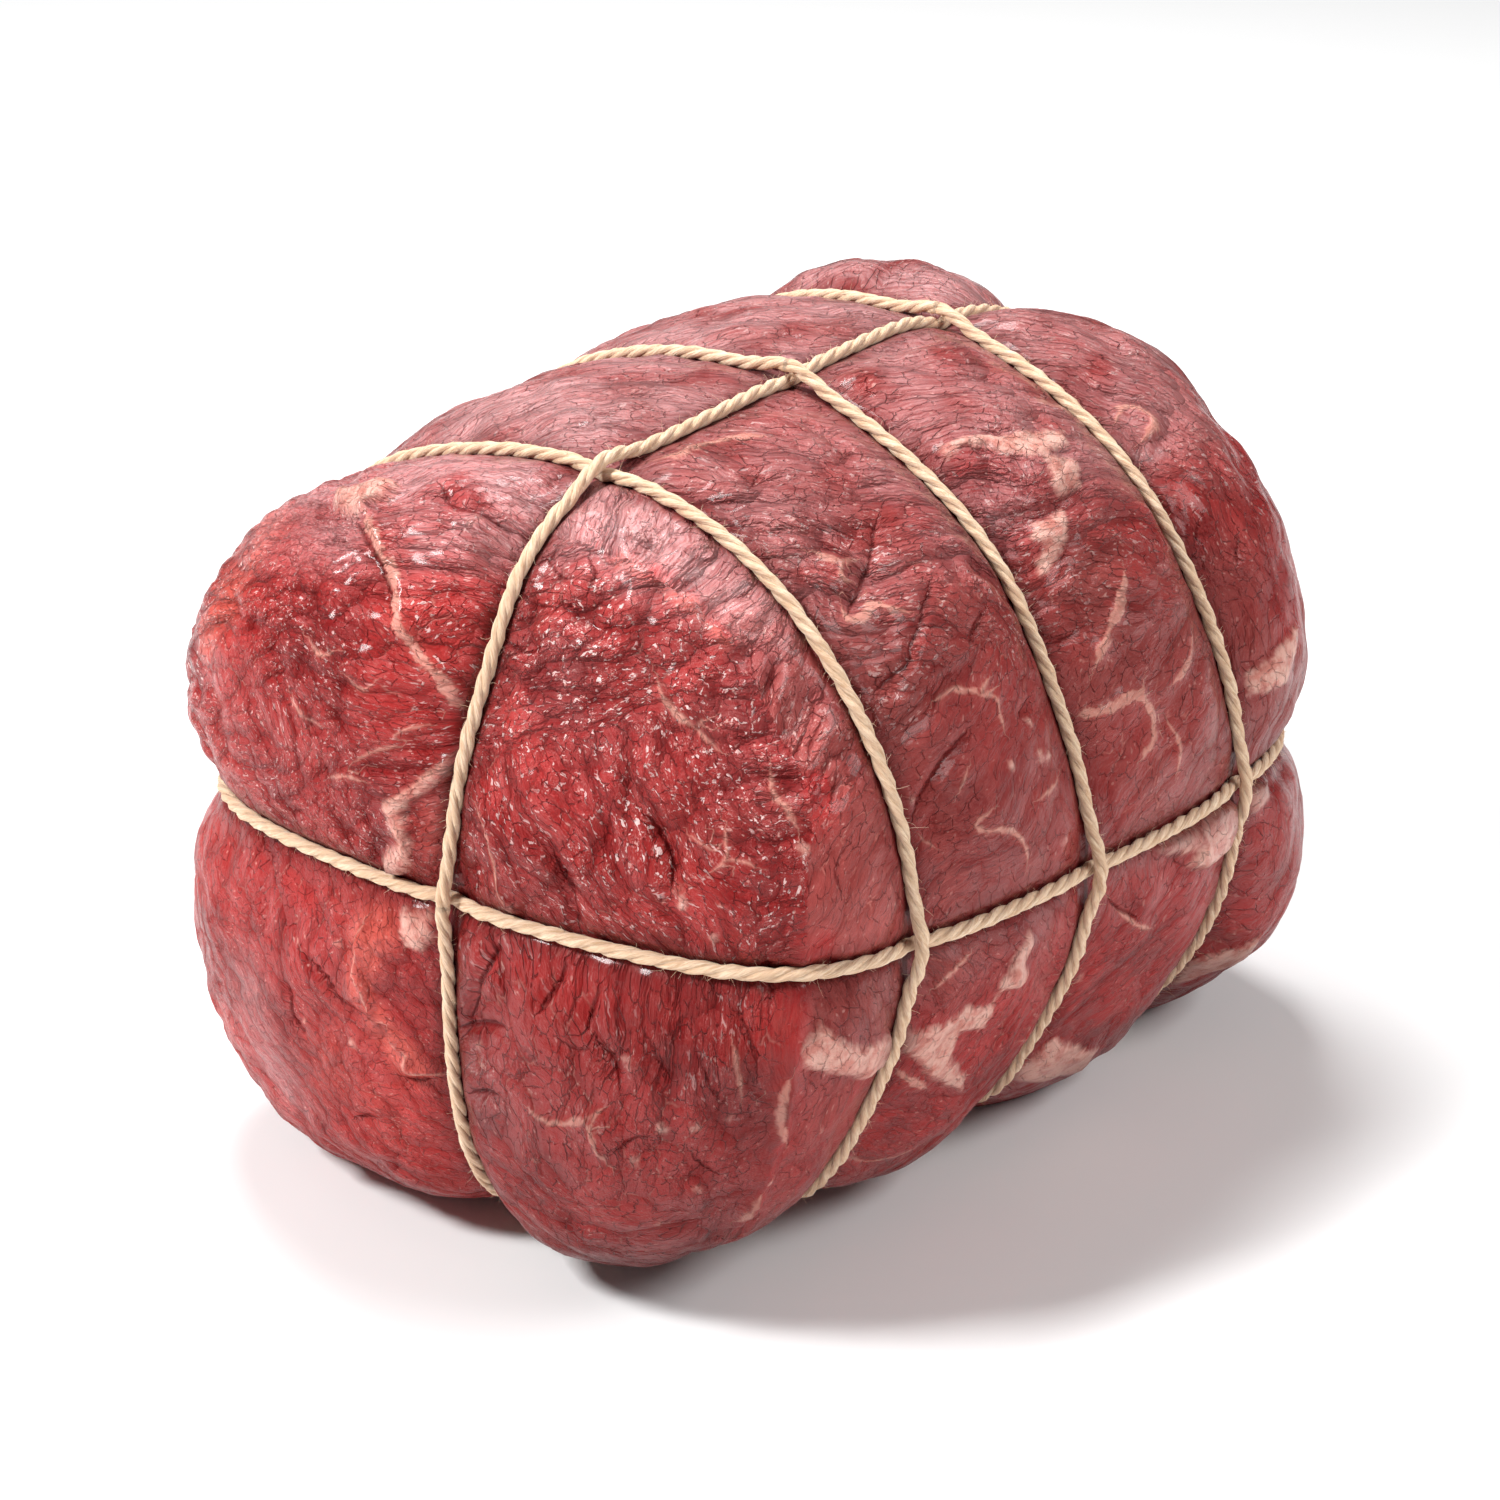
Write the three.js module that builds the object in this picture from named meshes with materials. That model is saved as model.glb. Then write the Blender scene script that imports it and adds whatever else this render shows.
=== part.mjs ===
import * as THREE from 'three';

// A raw joint of beef tied with five closed loops of twine. Sizes are in
// millimetres. +X runs along the joint to its back end, -Y is the near side
// and +Z is up. The joint rests on the flat of its underside at z = 0.

// ---- driving sizes --------------------------------------------------------
const HALF_LENGTH = 86.4;       // body before the twine pulls it in
const HALF_WIDTH = 71.8;
const HALF_HEIGHT = 69;
const SECTION_POWER = 2.34;     // how square the cross-section is
const END_POWER = 4.09;         // how square the ends are
const REST_DROP = 62.3;        // centre of the body down to the resting flat
const REST_SPARE = 5.5;        // how far the body is pressed below that flat before it is cut
const REST_BLEND = 2.0;        // rounding where the pressed base meets the sides

const TWINE_RADIUS = 1.1;
const TWINE_SEAT = 0.45;       // from the bottom of the furrow to the twine
const TWINE_GAP = 0.35;        // least gap to the meat and to another twine
const TWINE_SIDES = 8;
const CROSS_LIFT = 2.3;        // how far the upper twine rises at a crossing, at least
const CROSS_REACH = 5.5;       // how far along it that rise spreads

const FURROW_ROUND = 1.5;      // rounding at the bottom of a furrow
const GIRTH_FURROW = 9.2;     // how far a furrow's walls spread
const LENGTH_FURROW = 8.29;
const LEAST_BITE = 2.6;        // no furrow is shallower than about this
const BASE_BITE = 10.4;         // furrow depth under the joint, so the twine clears the table
const BASE_REACH = 9.0;        // height over which the furrows deepen to that

const NEAR_STEP = 3.0;         // mesh lines beside a string
const SIDE_STEP = 7.5;
const COLUMNS_PER_QUARTER = 12;
const ROWS = { front: 12, frontMiddle: 8, middleBack: 8, back: 13 };

// The loops. Each one lies on a gently bent sheet: coordinate number "fixes"
// equals at + tilt and bow terms in the other two. "bite" is the furrow depth
// round the loop, as a mean and four pairs of cosine and sine terms.
const LOOPS = {
  A: { name: 'twine_girth_front', fixes: 0, at: -43.66, tilt: [0.89, -2.34], bow: [0.05, -0.09, -1.59], bite: [3.99, -0.02, -1.01, 0.46, 0.98, -0.17, 0.01, 0.48, -0.99] },
  B: { name: 'twine_girth_middle', fixes: 0, at: -2.06, tilt: [-0.85, -0.09], bow: [-0.88, 0.85, -0.06], bite: [3.7, -0.46, -0.19, 0.33, -0.78, 0.63, 0.59, -1.27, 0.41] },
  C: { name: 'twine_girth_back', fixes: 0, at: 45.09, tilt: [1.49, -2.82], bow: [-0.19, -0.17, 1.73], bite: [5.48, -0.8, 0.07, 0.03, 0.06, 0.33, -0.56, -1.37, -0.2] },
  V: { name: 'twine_length_upright', fixes: 1, at: -5.98, tilt: [1.84, 0.61], bow: [0.93, -0.79, 0.92], bite: [4.18, -0.19, -1.57, 2.62, 0.92, -0.2, 0.88, -2.01, 0.01] },
  H: { name: 'twine_length_level', fixes: 2, at: -1.55, tilt: [-4.24, -0.58], bow: [0.49, 0.83, 0.23], bite: [5.04, 0.14, 0.68, 1.32, -0.82, 0.15, -0.72, -1.04, -0.36] },
};

// Swellings of the meat between the strings, as a share of the local radius.
const LOBES = [
  { name: 'UL', toward: [-1, 0.62, 0.55], spread: 0.36, swell: 0.063 },
  { name: 'UR', toward: [-1, -0.62, 0.5], spread: 0.36, swell: -0.125 },
  { name: 'LL', toward: [-1, 0.62, -0.6], spread: 0.36, swell: 0.015 },
  { name: 'LR', toward: [-1, -0.55, -0.65], spread: 0.36, swell: 0.023 },
  { name: 'f_tl', toward: [-0.8, 0.45, 0.75], spread: 0.3, swell: -0.03 },
  { name: 'f_tr', toward: [-0.8, -0.45, 0.75], spread: 0.3, swell: 0.046 },
  { name: 'f_su', toward: [-0.85, -0.95, 0.35], spread: 0.3, swell: 0.062 },
  { name: 'f_sl', toward: [-0.85, -0.95, -0.55], spread: 0.3, swell: -0.034 },
  { name: 'f_ol', toward: [-0.8, 0.95, 0.35], spread: 0.3, swell: -0.032 },
  { name: 'f_oll', toward: [-0.8, 0.95, -0.45], spread: 0.3, swell: 0.033 },
  { name: 'ab_tl', toward: [-0.42, 0.5, 1], spread: 0.3, swell: -0.021 },
  { name: 'ab_tr', toward: [-0.42, -0.45, 1], spread: 0.3, swell: -0.037 },
  { name: 'ab_su', toward: [-0.42, -1, 0.45], spread: 0.3, swell: -0.04 },
  { name: 'ab_sl', toward: [-0.42, -1, -0.5], spread: 0.3, swell: -0.06 },
  { name: 'ab_ou', toward: [-0.42, 1, 0.45], spread: 0.3, swell: -0.048 },
  { name: 'bc_tl', toward: [0.25, 0.5, 1], spread: 0.3, swell: -0.011 },
  { name: 'bc_tr', toward: [0.25, -0.45, 1], spread: 0.3, swell: -0.008 },
  { name: 'bc_su', toward: [0.25, -1, 0.45], spread: 0.3, swell: -0.053 },
  { name: 'bc_sl', toward: [0.25, -1, -0.5], spread: 0.3, swell: -0.049 },
  { name: 'bc_ou', toward: [0.25, 1, 0.45], spread: 0.3, swell: -0.001 },
  { name: 'cz_tl', toward: [0.95, 0.45, 0.8], spread: 0.3, swell: 0.029 },
  { name: 'cz_tr', toward: [0.95, -0.45, 0.8], spread: 0.3, swell: -0.011 },
  { name: 'cz_su', toward: [0.95, -0.8, 0.35], spread: 0.3, swell: -0.007 },
  { name: 'cz_sl', toward: [0.95, -0.8, -0.45], spread: 0.3, swell: 0.078 },
  { name: 'bot_f', toward: [-0.7, -0.3, -1], spread: 0.34, swell: -0.047 },
  { name: 'bot_m', toward: [0.1, -0.4, -1], spread: 0.34, swell: 0.031 },
  { name: 'bot_b', toward: [0.8, -0.4, -1], spread: 0.34, swell: 0.108 },
  { name: 'edge_tf', toward: [-0.98, -0.2, 0.62], spread: 0.22, swell: -0.051 },
  { name: 'edge_lf', toward: [-0.95, 0.95, 0.15], spread: 0.22, swell: -0.025 },
  { name: 'LLb', toward: [-0.9, 0.75, -0.95], spread: 0.24, swell: 0.094 },
  { name: 'LRb', toward: [-1, -0.25, -1], spread: 0.24, swell: 0.02 },
  { name: 'ULo', toward: [-0.9, 0.95, 0.75], spread: 0.24, swell: -0.03 },
  { name: 'zr_u', toward: [1, -0.9, 0.1], spread: 0.22, swell: 0.012 },
  { name: 'zr_l', toward: [1, -0.9, -0.25], spread: 0.22, swell: -0.03 },
  { name: 'zt_l', toward: [0.9, 0.5, 1], spread: 0.24, swell: 0.009 },
  { name: 'zt_r', toward: [0.98, -0.2, 0.85], spread: 0.24, swell: 0.021 },
];

const MEAT = { color: 0x8c2a2c, roughness: 0.42, metalness: 0 };
const TWINE = { color: 0xc4a47c, roughness: 0.9, metalness: 0 };

// ---- the surface ----------------------------------------------------------
const len = (v) => Math.hypot(v[0], v[1], v[2]);
const unit = (v) => { const l = len(v); return [v[0] / l, v[1] / l, v[2] / l]; };
const add = (a, b, k = 1) => [a[0] + k * b[0], a[1] + k * b[1], a[2] + k * b[2]];
const dot = (a, b) => a[0] * b[0] + a[1] * b[1] + a[2] * b[2];
const cross = (a, b) => [a[1] * b[2] - a[2] * b[1], a[2] * b[0] - a[0] * b[2], a[0] * b[1] - a[1] * b[0]];
const clamp01 = (t) => Math.min(1, Math.max(0, t));
const smooth = (t) => { t = clamp01(t); return t * t * (3 - 2 * t); };

for (const lobe of LOBES) lobe.toward = unit(lobe.toward);

function bodyRadius(u) {
  const section = (Math.abs(u[1] / HALF_WIDTH) ** SECTION_POWER + Math.abs(u[2] / HALF_HEIGHT) ** SECTION_POWER) ** (END_POWER / SECTION_POWER);
  let r = (section + Math.abs(u[0] / HALF_LENGTH) ** END_POWER) ** (-1 / END_POWER);
  let swell = 1;
  for (const lobe of LOBES) swell += lobe.swell * Math.exp(-2 * (1 - dot(u, lobe.toward)) / lobe.spread ** 2);
  r *= swell;
  const limit = (REST_DROP + REST_SPARE) / Math.max(-u[2], 1e-6);
  const h = clamp01(0.5 + 0.5 * (limit - r) / REST_BLEND);
  return limit * (1 - h) + r * h - REST_BLEND * h * (1 - h);
}

const others = (loop) => [[1, 2], [0, 2], [0, 1]][loop.fixes];

function sheet(loop, p) {
  const [a, b] = others(loop);
  const i = p[a] / 60, j = p[b] / 60;
  return loop.at + loop.tilt[0] * i + loop.tilt[1] * j + loop.bow[0] * i * i + loop.bow[1] * j * j + loop.bow[2] * i * j;
}

// 1 on the underside, fading to 0 up the sides
const baseShare = (p) => smooth((BASE_REACH - p[2] - REST_DROP) / BASE_REACH);

function biteDepth(loop, p) {
  const [a, b] = others(loop);
  const t = Math.atan2(p[b], p[a]);
  let g = loop.bite[0];
  for (let k = 1; k <= 4; k++) g += loop.bite[2 * k - 1] * Math.cos(k * t) + loop.bite[2 * k] * Math.sin(k * t);
  g = 0.5 * (g + LEAST_BITE + Math.sqrt((g - LEAST_BITE) ** 2 + 1));
  const under = baseShare(p);
  return g * (1 - under) + BASE_BITE * under;
}

function furrow(p) {
  let sum = 0;
  for (const loop of Object.values(LOOPS)) {
    const d = p[loop.fixes] - sheet(loop, p);
    const spread = loop.fixes === 0 ? GIRTH_FURROW : LENGTH_FURROW;
    sum += (biteDepth(loop, p) * Math.exp(-(Math.hypot(d, FURROW_ROUND) - FURROW_ROUND) / spread)) ** 3;
  }
  return Math.cbrt(sum);
}

// the way the plain body faces at a point
function facing(p) {
  const [x, y, z] = [p[0] / HALF_LENGTH, p[1] / HALF_WIDTH, p[2] / HALF_HEIGHT];
  const s = (Math.abs(y) ** SECTION_POWER + Math.abs(z) ** SECTION_POWER + 1e-9) ** (END_POWER / SECTION_POWER - 1);
  return unit([
    Math.sign(x) * Math.abs(x) ** (END_POWER - 1) / HALF_LENGTH,
    s * Math.sign(y) * Math.abs(y) ** (SECTION_POWER - 1) / HALF_WIDTH,
    s * Math.sign(z) * Math.abs(z) ** (SECTION_POWER - 1) / HALF_HEIGHT,
  ]);
}

// furrows sink square to the body on its sides and straight up on its underside
function surfacePoint(direction) {
  const u = unit(direction), r = bodyRadius(u);
  const p = [r * u[0], r * u[1], r * u[2]];
  const share = baseShare(p), n = facing(p);
  const inward = unit([-(1 - share) * n[0], -(1 - share) * n[1], share - (1 - share) * n[2]]);
  const q = add(p, inward, furrow(p));
  q[2] = Math.max(q[2], -REST_DROP);
  q.from = u;                  // the direction it was cast in
  return q;
}

// ---- the strings' paths on the surface ------------------------------------
// finds where a path leaves the body, then drops that point to the furrow's bottom
function onSurface(pointAt) {
  let lo = 5, hi = 220;
  for (let n = 0; n < 40; n++) {
    const mid = (lo + hi) / 2, p = pointAt(mid);
    if (len(p) < bodyRadius(unit(p))) lo = mid; else hi = mid;
  }
  return surfacePoint(pointAt((lo + hi) / 2));
}

function settle(p, first, second) {
  for (let n = 0; n < 6; n++) {
    p[first.fixes] = sheet(first, p);
    p[second.fixes] = sheet(second, p);
  }
  return p;
}

// where two loops cross, on the side where the third coordinate has this sign
function crossing(first, second, sign) {
  const free = 3 - first.fixes - second.fixes;
  return onSurface((m) => {
    const p = [0, 0, 0];
    p[free] = sign * m;
    return settle(p, first, second);
  });
}

const angleOn = (loop, p) => { const [a, b] = others(loop); return Math.atan2(p.from[b], p.from[a]); };

function loopPoint(loop, t) {
  const [a, b] = others(loop);
  return onSurface((m) => {
    const p = [0, 0, 0];
    p[a] = m * Math.cos(t);
    p[b] = m * Math.sin(t);
    p[loop.fixes] = sheet(loop, p);
    return p;
  });
}

// stations along a string between two crossings: fine by the ends, even between
function stations(length, count, fromPole, toPole) {
  const start = fromPole ? [0, 5.5, 12] : [0, NEAR_STEP, SIDE_STEP];
  const end = (toPole ? [0, 5.5, 12] : [0, NEAR_STEP, SIDE_STEP]).map((d) => length - d).reverse();
  const list = [...start];
  const gaps = count - 4;
  for (let k = 1; k < gaps; k++) list.push(start[2] + (end[0] - start[2]) * k / gaps);
  return [...list, ...end];
}

function stretch(loop, from, to, count, fromPole = false, toPole = false) {
  const t0 = angleOn(loop, from);
  let t1 = angleOn(loop, to);
  while (t1 - t0 > Math.PI) t1 -= 2 * Math.PI;
  while (t1 - t0 < -Math.PI) t1 += 2 * Math.PI;
  const fine = 160, points = [from], travelled = [0];
  for (let k = 1; k <= fine; k++) {
    const p = k === fine ? to : loopPoint(loop, t0 + (t1 - t0) * k / fine);
    travelled.push(travelled[k - 1] + len(add(p, points[k - 1], -1)));
    points.push(p);
  }
  const total = travelled[fine];
  const marks = stations(total, count, fromPole, toPole);
  const out = marks.map((s, n) => {
    if (n === 0) return from;
    if (n === marks.length - 1) return to;
    let k = 1;
    while (travelled[k] < s) k++;
    const f = (s - travelled[k - 1]) / (travelled[k] - travelled[k - 1]);
    return loopPoint(loop, t0 + (t1 - t0) * (k - 1 + f) / fine);
  });
  return { points: out, share: marks.map((s) => s / total) };
}

// ---- the meat's mesh: rows follow the girths, columns the lengthwise loops --
const { A, B, C, V, H } = LOOPS;
const QUARTERS = [[V, 1], [H, -1], [V, -1], [H, 1]];   // top, near side, underside, far side
const front = crossing(V, H, -1);
const back = crossing(V, H, 1);
const corners = [A, B, C].map((girth) => QUARTERS.map(([loop, sign]) => crossing(girth, loop, sign)));

const rings = [A, B, C].map((girth, g) => QUARTERS.map((_, q) => stretch(girth, corners[g][q], corners[g][(q + 1) % 4], COLUMNS_PER_QUARTER)));
const columns = QUARTERS.map(([loop], q) => [
  stretch(loop, front, corners[0][q], ROWS.front, true),
  stretch(loop, corners[0][q], corners[1][q], ROWS.frontMiddle),
  stretch(loop, corners[1][q], corners[2][q], ROWS.middleBack),
  stretch(loop, corners[2][q], back, ROWS.back, false, true),
]);

const bandCounts = [ROWS.front, ROWS.frontMiddle, ROWS.middleBack, ROWS.back];
const rowTotal = bandCounts.reduce((a, b) => a + b, 0);
const columnTotal = 4 * COLUMNS_PER_QUARTER;
const grid = Array.from({ length: rowTotal + 1 }, () => new Array(columnTotal));

let firstRow = 0;
bandCounts.forEach((count, band) => {
  for (let q = 0; q < 4; q++) {
    const left = columns[q][band], right = columns[(q + 1) % 4][band];
    const low = band === 0 ? null : rings[band - 1][q];
    const high = band === 3 ? null : rings[band][q];
    for (let i = 0; i <= count; i++) {
      for (let j = 0; j < COLUMNS_PER_QUARTER; j++) {
        const row = firstRow + i, column = q * COLUMNS_PER_QUARTER + j;
        if (j === 0) { grid[row][column] = left.points[i]; continue; }
        if (i === 0 && low) { grid[row][column] = low.points[j]; continue; }
        if (i === count && high) { grid[row][column] = high.points[j]; continue; }
        const v = (left.share[i] + right.share[i]) / 2;
        const ringShare = [low, high].filter(Boolean);
        const u = ringShare.reduce((s, r) => s + r.share[j], 0) / ringShare.length;
        const dir = (p) => p.from;
        const lowDir = low ? dir(low.points[j]) : dir(front);
        const highDir = high ? dir(high.points[j]) : dir(back);
        const p00 = dir(left.points[0]), p10 = dir(right.points[0]);
        const p01 = dir(left.points[count]), p11 = dir(right.points[count]);
        let d = [0, 0, 0];
        d = add(d, lowDir, 1 - v);
        d = add(d, highDir, v);
        d = add(d, dir(left.points[i]), 1 - u);
        d = add(d, dir(right.points[i]), u);
        d = add(d, p00, -(1 - u) * (1 - v));
        d = add(d, p10, -u * (1 - v));
        d = add(d, p01, -(1 - u) * v);
        d = add(d, p11, -u * v);
        grid[row][column] = surfacePoint(d);
      }
    }
  }
  firstRow += count;
});


function meatGeometry() {
  const positions = [], index = [];
  const push = (p) => positions.push(...p) / 3 - 1;
  const frontId = push(front), backId = push(back);
  const ids = grid.map((row, i) => (i === 0 || i === rowTotal ? null : row.map(push)));
  for (let j = 0; j < columnTotal; j++) {
    const k = (j + 1) % columnTotal;
    index.push(frontId, ids[1][k], ids[1][j]);
    index.push(backId, ids[rowTotal - 1][j], ids[rowTotal - 1][k]);
    for (let i = 1; i < rowTotal - 1; i++) {
      const a = ids[i][j], b = ids[i][k], c = ids[i + 1][k], d = ids[i + 1][j];
      const pa = grid[i][j], pb = grid[i][k], pc = grid[i + 1][k], pd = grid[i + 1][j];
      if (len(add(pa, pc, -1)) < len(add(pb, pd, -1))) index.push(a, b, c, a, c, d);
      else index.push(a, b, d, b, c, d);
    }
  }
  return closed(positions, index);
}

function closed(positions, index) {
  let volume = 0;
  const at = (n) => [positions[3 * n], positions[3 * n + 1], positions[3 * n + 2]];
  for (let n = 0; n < index.length; n += 3) volume += dot(at(index[n]), cross(at(index[n + 1]), at(index[n + 2])));
  if (volume < 0) for (let n = 0; n < index.length; n += 3) [index[n + 1], index[n + 2]] = [index[n + 2], index[n + 1]];
  const geometry = new THREE.BufferGeometry();
  geometry.setAttribute('position', new THREE.Float32BufferAttribute(positions, 3));
  geometry.setIndex(index);
  geometry.computeVertexNormals();
  return geometry;
}

// ---- the twine ------------------------------------------------------------
// which loop lies on top at each crossing
const OVER = {
  front: V, back: H,
  top: [V, B, C], near: [A, B, C], under: [A, B, V], far: [A, B, C],
};
const crossings = [{ at: front, over: OVER.front, pair: [V, H] }, { at: back, over: OVER.back, pair: [V, H] }];
[A, B, C].forEach((girth, g) => ['top', 'near', 'under', 'far'].forEach((side, q) => {
  crossings.push({ at: corners[g][q], over: OVER[side][g], pair: [girth, QUARTERS[q][0]] });
}));

function outward(p) {
  const h = 0.5, g = [0, 0, 0];
  for (let k = 0; k < 3; k++) {
    const a = [...p], b = [...p];
    a[k] += h; b[k] -= h;
    g[k] = (len(a) - bodyRadius(unit(a))) - (len(b) - bodyRadius(unit(b)));
  }
  return unit(g);
}

const meat = meatGeometry();
const triangles = [];
{
  const at = meat.attributes.position, ix = meat.index;
  for (let n = 0; n < ix.count; n += 3) {
    const [a, b, c] = [0, 1, 2].map((k) => new THREE.Vector3().fromBufferAttribute(at, ix.getX(n + k)));
    const triangle = new THREE.Triangle(a, b, c);
    triangles.push({ triangle, middle: triangle.getMidpoint(new THREE.Vector3()) });
  }
}

function distanceToMeat(p, near) {
  const v = new THREE.Vector3(...p), q = new THREE.Vector3();
  let best = Infinity;
  for (const t of near) best = Math.min(best, t.triangle.closestPointToPoint(v, q).distanceTo(v));
  return best;
}

// the twine's centre line: seated in the furrow, raised where it lies on top
function centreLine(loop, path) {
  const n = path.length;
  const line = path.map((p, k) => {
    const tangent = unit(add(path[(k + 1) % n], path[(k + n - 1) % n], -1));
    let normal = outward(p);
    normal = unit(add(normal, tangent, -dot(normal, tangent)));
    const v = new THREE.Vector3(...p);
    return { p: add(p, normal, TWINE_RADIUS + TWINE_SEAT), normal, near: triangles.filter((t) => t.middle.distanceTo(v) < 16) };
  });
  for (let round = 0; round < 6; round++) {
    for (let k = 0; k < n; k++) {
      const a = line[k], b = line[(k + 1) % n];
      for (const f of [0, 0.33, 0.67]) {
        const p = add([0, 1, 2].map((c) => a.p[c] * (1 - f)), b.p, f);
        const short = TWINE_RADIUS + TWINE_GAP - distanceToMeat(p, a.near);
        if (short <= 0) continue;
        a.p = add(a.p, a.normal, short * 1.1);
        if (f > 0) b.p = add(b.p, b.normal, short * 1.1);
      }
    }
  }
  return { loop, line };
}

function liftOver(over, under, at) {
  const close = (s) => s.line.map((c, k) => [c.p, s.line[(k + 1) % s.line.length].p]).filter(([a]) => len(add(a, at, -1)) < 14);
  for (let round = 0; round < 40; round++) {
    let least = Infinity;
    for (const [a, b] of close(over)) for (const [c, d] of close(under)) {
      for (let f = 0; f < 1; f += 0.1) for (let g = 0; g < 1; g += 0.1) {
        const p = add([0, 1, 2].map((k) => a[k] * (1 - f)), b, f), q = add([0, 1, 2].map((k) => c[k] * (1 - g)), d, g);
        least = Math.min(least, len(add(p, q, -1)));
      }
    }
    if (least >= 2 * TWINE_RADIUS + TWINE_GAP) return;
    for (const c of over.line) c.p = add(c.p, c.normal, 0.1 * Math.exp(-((len(add(c.p, at, -1)) / CROSS_REACH) ** 2)));
  }
}

function twineGeometry(loop, centres) {
  const n = centres.length;
  const positions = [], index = [];
  for (let k = 0; k < n; k++) {
    const tangent = unit(add(centres[(k + 1) % n].p, centres[(k + n - 1) % n].p, -1));
    let normal = centres[k].normal;
    normal = unit(add(normal, tangent, -dot(normal, tangent)));
    const side = cross(tangent, normal);
    for (let s = 0; s < TWINE_SIDES; s++) {
      const t = 2 * Math.PI * s / TWINE_SIDES;
      let p = add(centres[k].p, normal, TWINE_RADIUS * Math.cos(t));
      p = add(p, side, TWINE_RADIUS * Math.sin(t));
      positions.push(...p);
    }
    for (let s = 0; s < TWINE_SIDES; s++) {
      const a = k * TWINE_SIDES + s, b = k * TWINE_SIDES + (s + 1) % TWINE_SIDES;
      const c = ((k + 1) % n) * TWINE_SIDES + (s + 1) % TWINE_SIDES, d = ((k + 1) % n) * TWINE_SIDES + s;
      index.push(a, b, c, a, c, d);
    }
  }
  return closed(positions, index);
}

const ringPath = (g) => rings[g].flatMap((part) => part.points.slice(0, -1));
const sidePath = (q) => columns[q].flatMap((part) => part.points.slice(0, -1));
const lengthPath = (out, home) => [...sidePath(out), back, ...sidePath(home).slice(1).reverse()];

// ---- the group ------------------------------------------------------------
const group = new THREE.Group();
group.name = 'tied_beef_joint';

function piece(name, geometry, look) {
  const mesh = new THREE.Mesh(geometry, new THREE.MeshStandardMaterial(look));
  mesh.name = name;
  mesh.material.name = name;
  group.add(mesh);
}

piece('beef_joint', meat, MEAT);
const strings = [
  centreLine(A, ringPath(0)), centreLine(B, ringPath(1)), centreLine(C, ringPath(2)),
  centreLine(V, lengthPath(0, 2)), centreLine(H, lengthPath(1, 3)),
];
for (const x of crossings) {
  const under = x.pair.find((loop) => loop !== x.over);
  const over = strings.find((s) => s.loop === x.over);
  for (const c of over.line) c.p = add(c.p, c.normal, CROSS_LIFT * Math.exp(-((len(add(c.p, x.at, -1)) / CROSS_REACH) ** 2)));
  liftOver(over, strings.find((s) => s.loop === under), x.at);
}
for (const { loop, line } of strings) piece(loop.name, twineGeometry(loop, line), TWINE);

// the resting flat goes to z = 0 and the middle of the whole over the origin
const box = new THREE.Box3().setFromObject(group);
for (const mesh of group.children) mesh.geometry.translate(-(box.min.x + box.max.x) / 2, -(box.min.y + box.max.y) / 2, REST_DROP);

export default group;
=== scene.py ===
import math
import bpy
import numpy as np
from mathutils import Matrix, Vector, kdtree


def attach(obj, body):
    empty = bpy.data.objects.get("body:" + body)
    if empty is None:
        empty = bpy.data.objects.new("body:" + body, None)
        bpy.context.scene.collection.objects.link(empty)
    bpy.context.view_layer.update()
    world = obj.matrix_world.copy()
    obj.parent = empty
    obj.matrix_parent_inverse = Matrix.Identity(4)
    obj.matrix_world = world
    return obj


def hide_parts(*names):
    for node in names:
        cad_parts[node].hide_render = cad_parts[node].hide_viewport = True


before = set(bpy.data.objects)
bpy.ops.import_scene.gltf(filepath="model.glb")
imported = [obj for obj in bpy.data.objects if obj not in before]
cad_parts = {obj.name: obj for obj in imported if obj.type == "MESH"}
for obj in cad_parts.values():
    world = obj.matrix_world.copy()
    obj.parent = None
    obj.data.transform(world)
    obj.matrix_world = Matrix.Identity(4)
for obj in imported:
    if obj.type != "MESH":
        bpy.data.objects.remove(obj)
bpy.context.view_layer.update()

# A raw joint of beef tied with five loops of twine.
# Lengths in this script are millimetres until a mesh is made, then metres.
# The surface is the same formula as the CAD solid's, sampled much finer.

MM = 0.001

# ---------------------------------------------------------------- the body
HALF = (86.4, 71.8, 69.0)
SECTION_POWER, END_POWER = 2.34, 4.09
REST_DROP, REST_SPARE, REST_BLEND = 62.3, 5.5, 2.0
FURROW_ROUND, GIRTH_FURROW, LENGTH_FURROW = 1.5, 9.2, 8.29
LEAST_BITE, BASE_BITE, BASE_REACH = 2.6, 10.4, 9.0
SHIFT = np.array([0.3209, 0.2976, REST_DROP])      # body centre to part origin

LOOPS = {
    "A": dict(fixes=0, at=-43.66, tilt=(0.89, -2.34), bow=(0.05, -0.09, -1.59), bite=(3.99, -0.02, -1.01, 0.46, 0.98, -0.17, 0.01, 0.48, -0.99)),
    "B": dict(fixes=0, at=-2.06, tilt=(-0.85, -0.09), bow=(-0.88, 0.85, -0.06), bite=(3.7, -0.46, -0.19, 0.33, -0.78, 0.63, 0.59, -1.27, 0.41)),
    "C": dict(fixes=0, at=45.09, tilt=(1.49, -2.82), bow=(-0.19, -0.17, 1.73), bite=(5.48, -0.8, 0.07, 0.03, 0.06, 0.33, -0.56, -1.37, -0.2)),
    "V": dict(fixes=1, at=-5.98, tilt=(1.84, 0.61), bow=(0.93, -0.79, 0.92), bite=(4.18, -0.19, -1.57, 2.62, 0.92, -0.2, 0.88, -2.01, 0.01)),
    "H": dict(fixes=2, at=-1.55, tilt=(-4.24, -0.58), bow=(0.49, 0.83, 0.23), bite=(5.04, 0.14, 0.68, 1.32, -0.82, 0.15, -0.72, -1.04, -0.36)),
}

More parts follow.
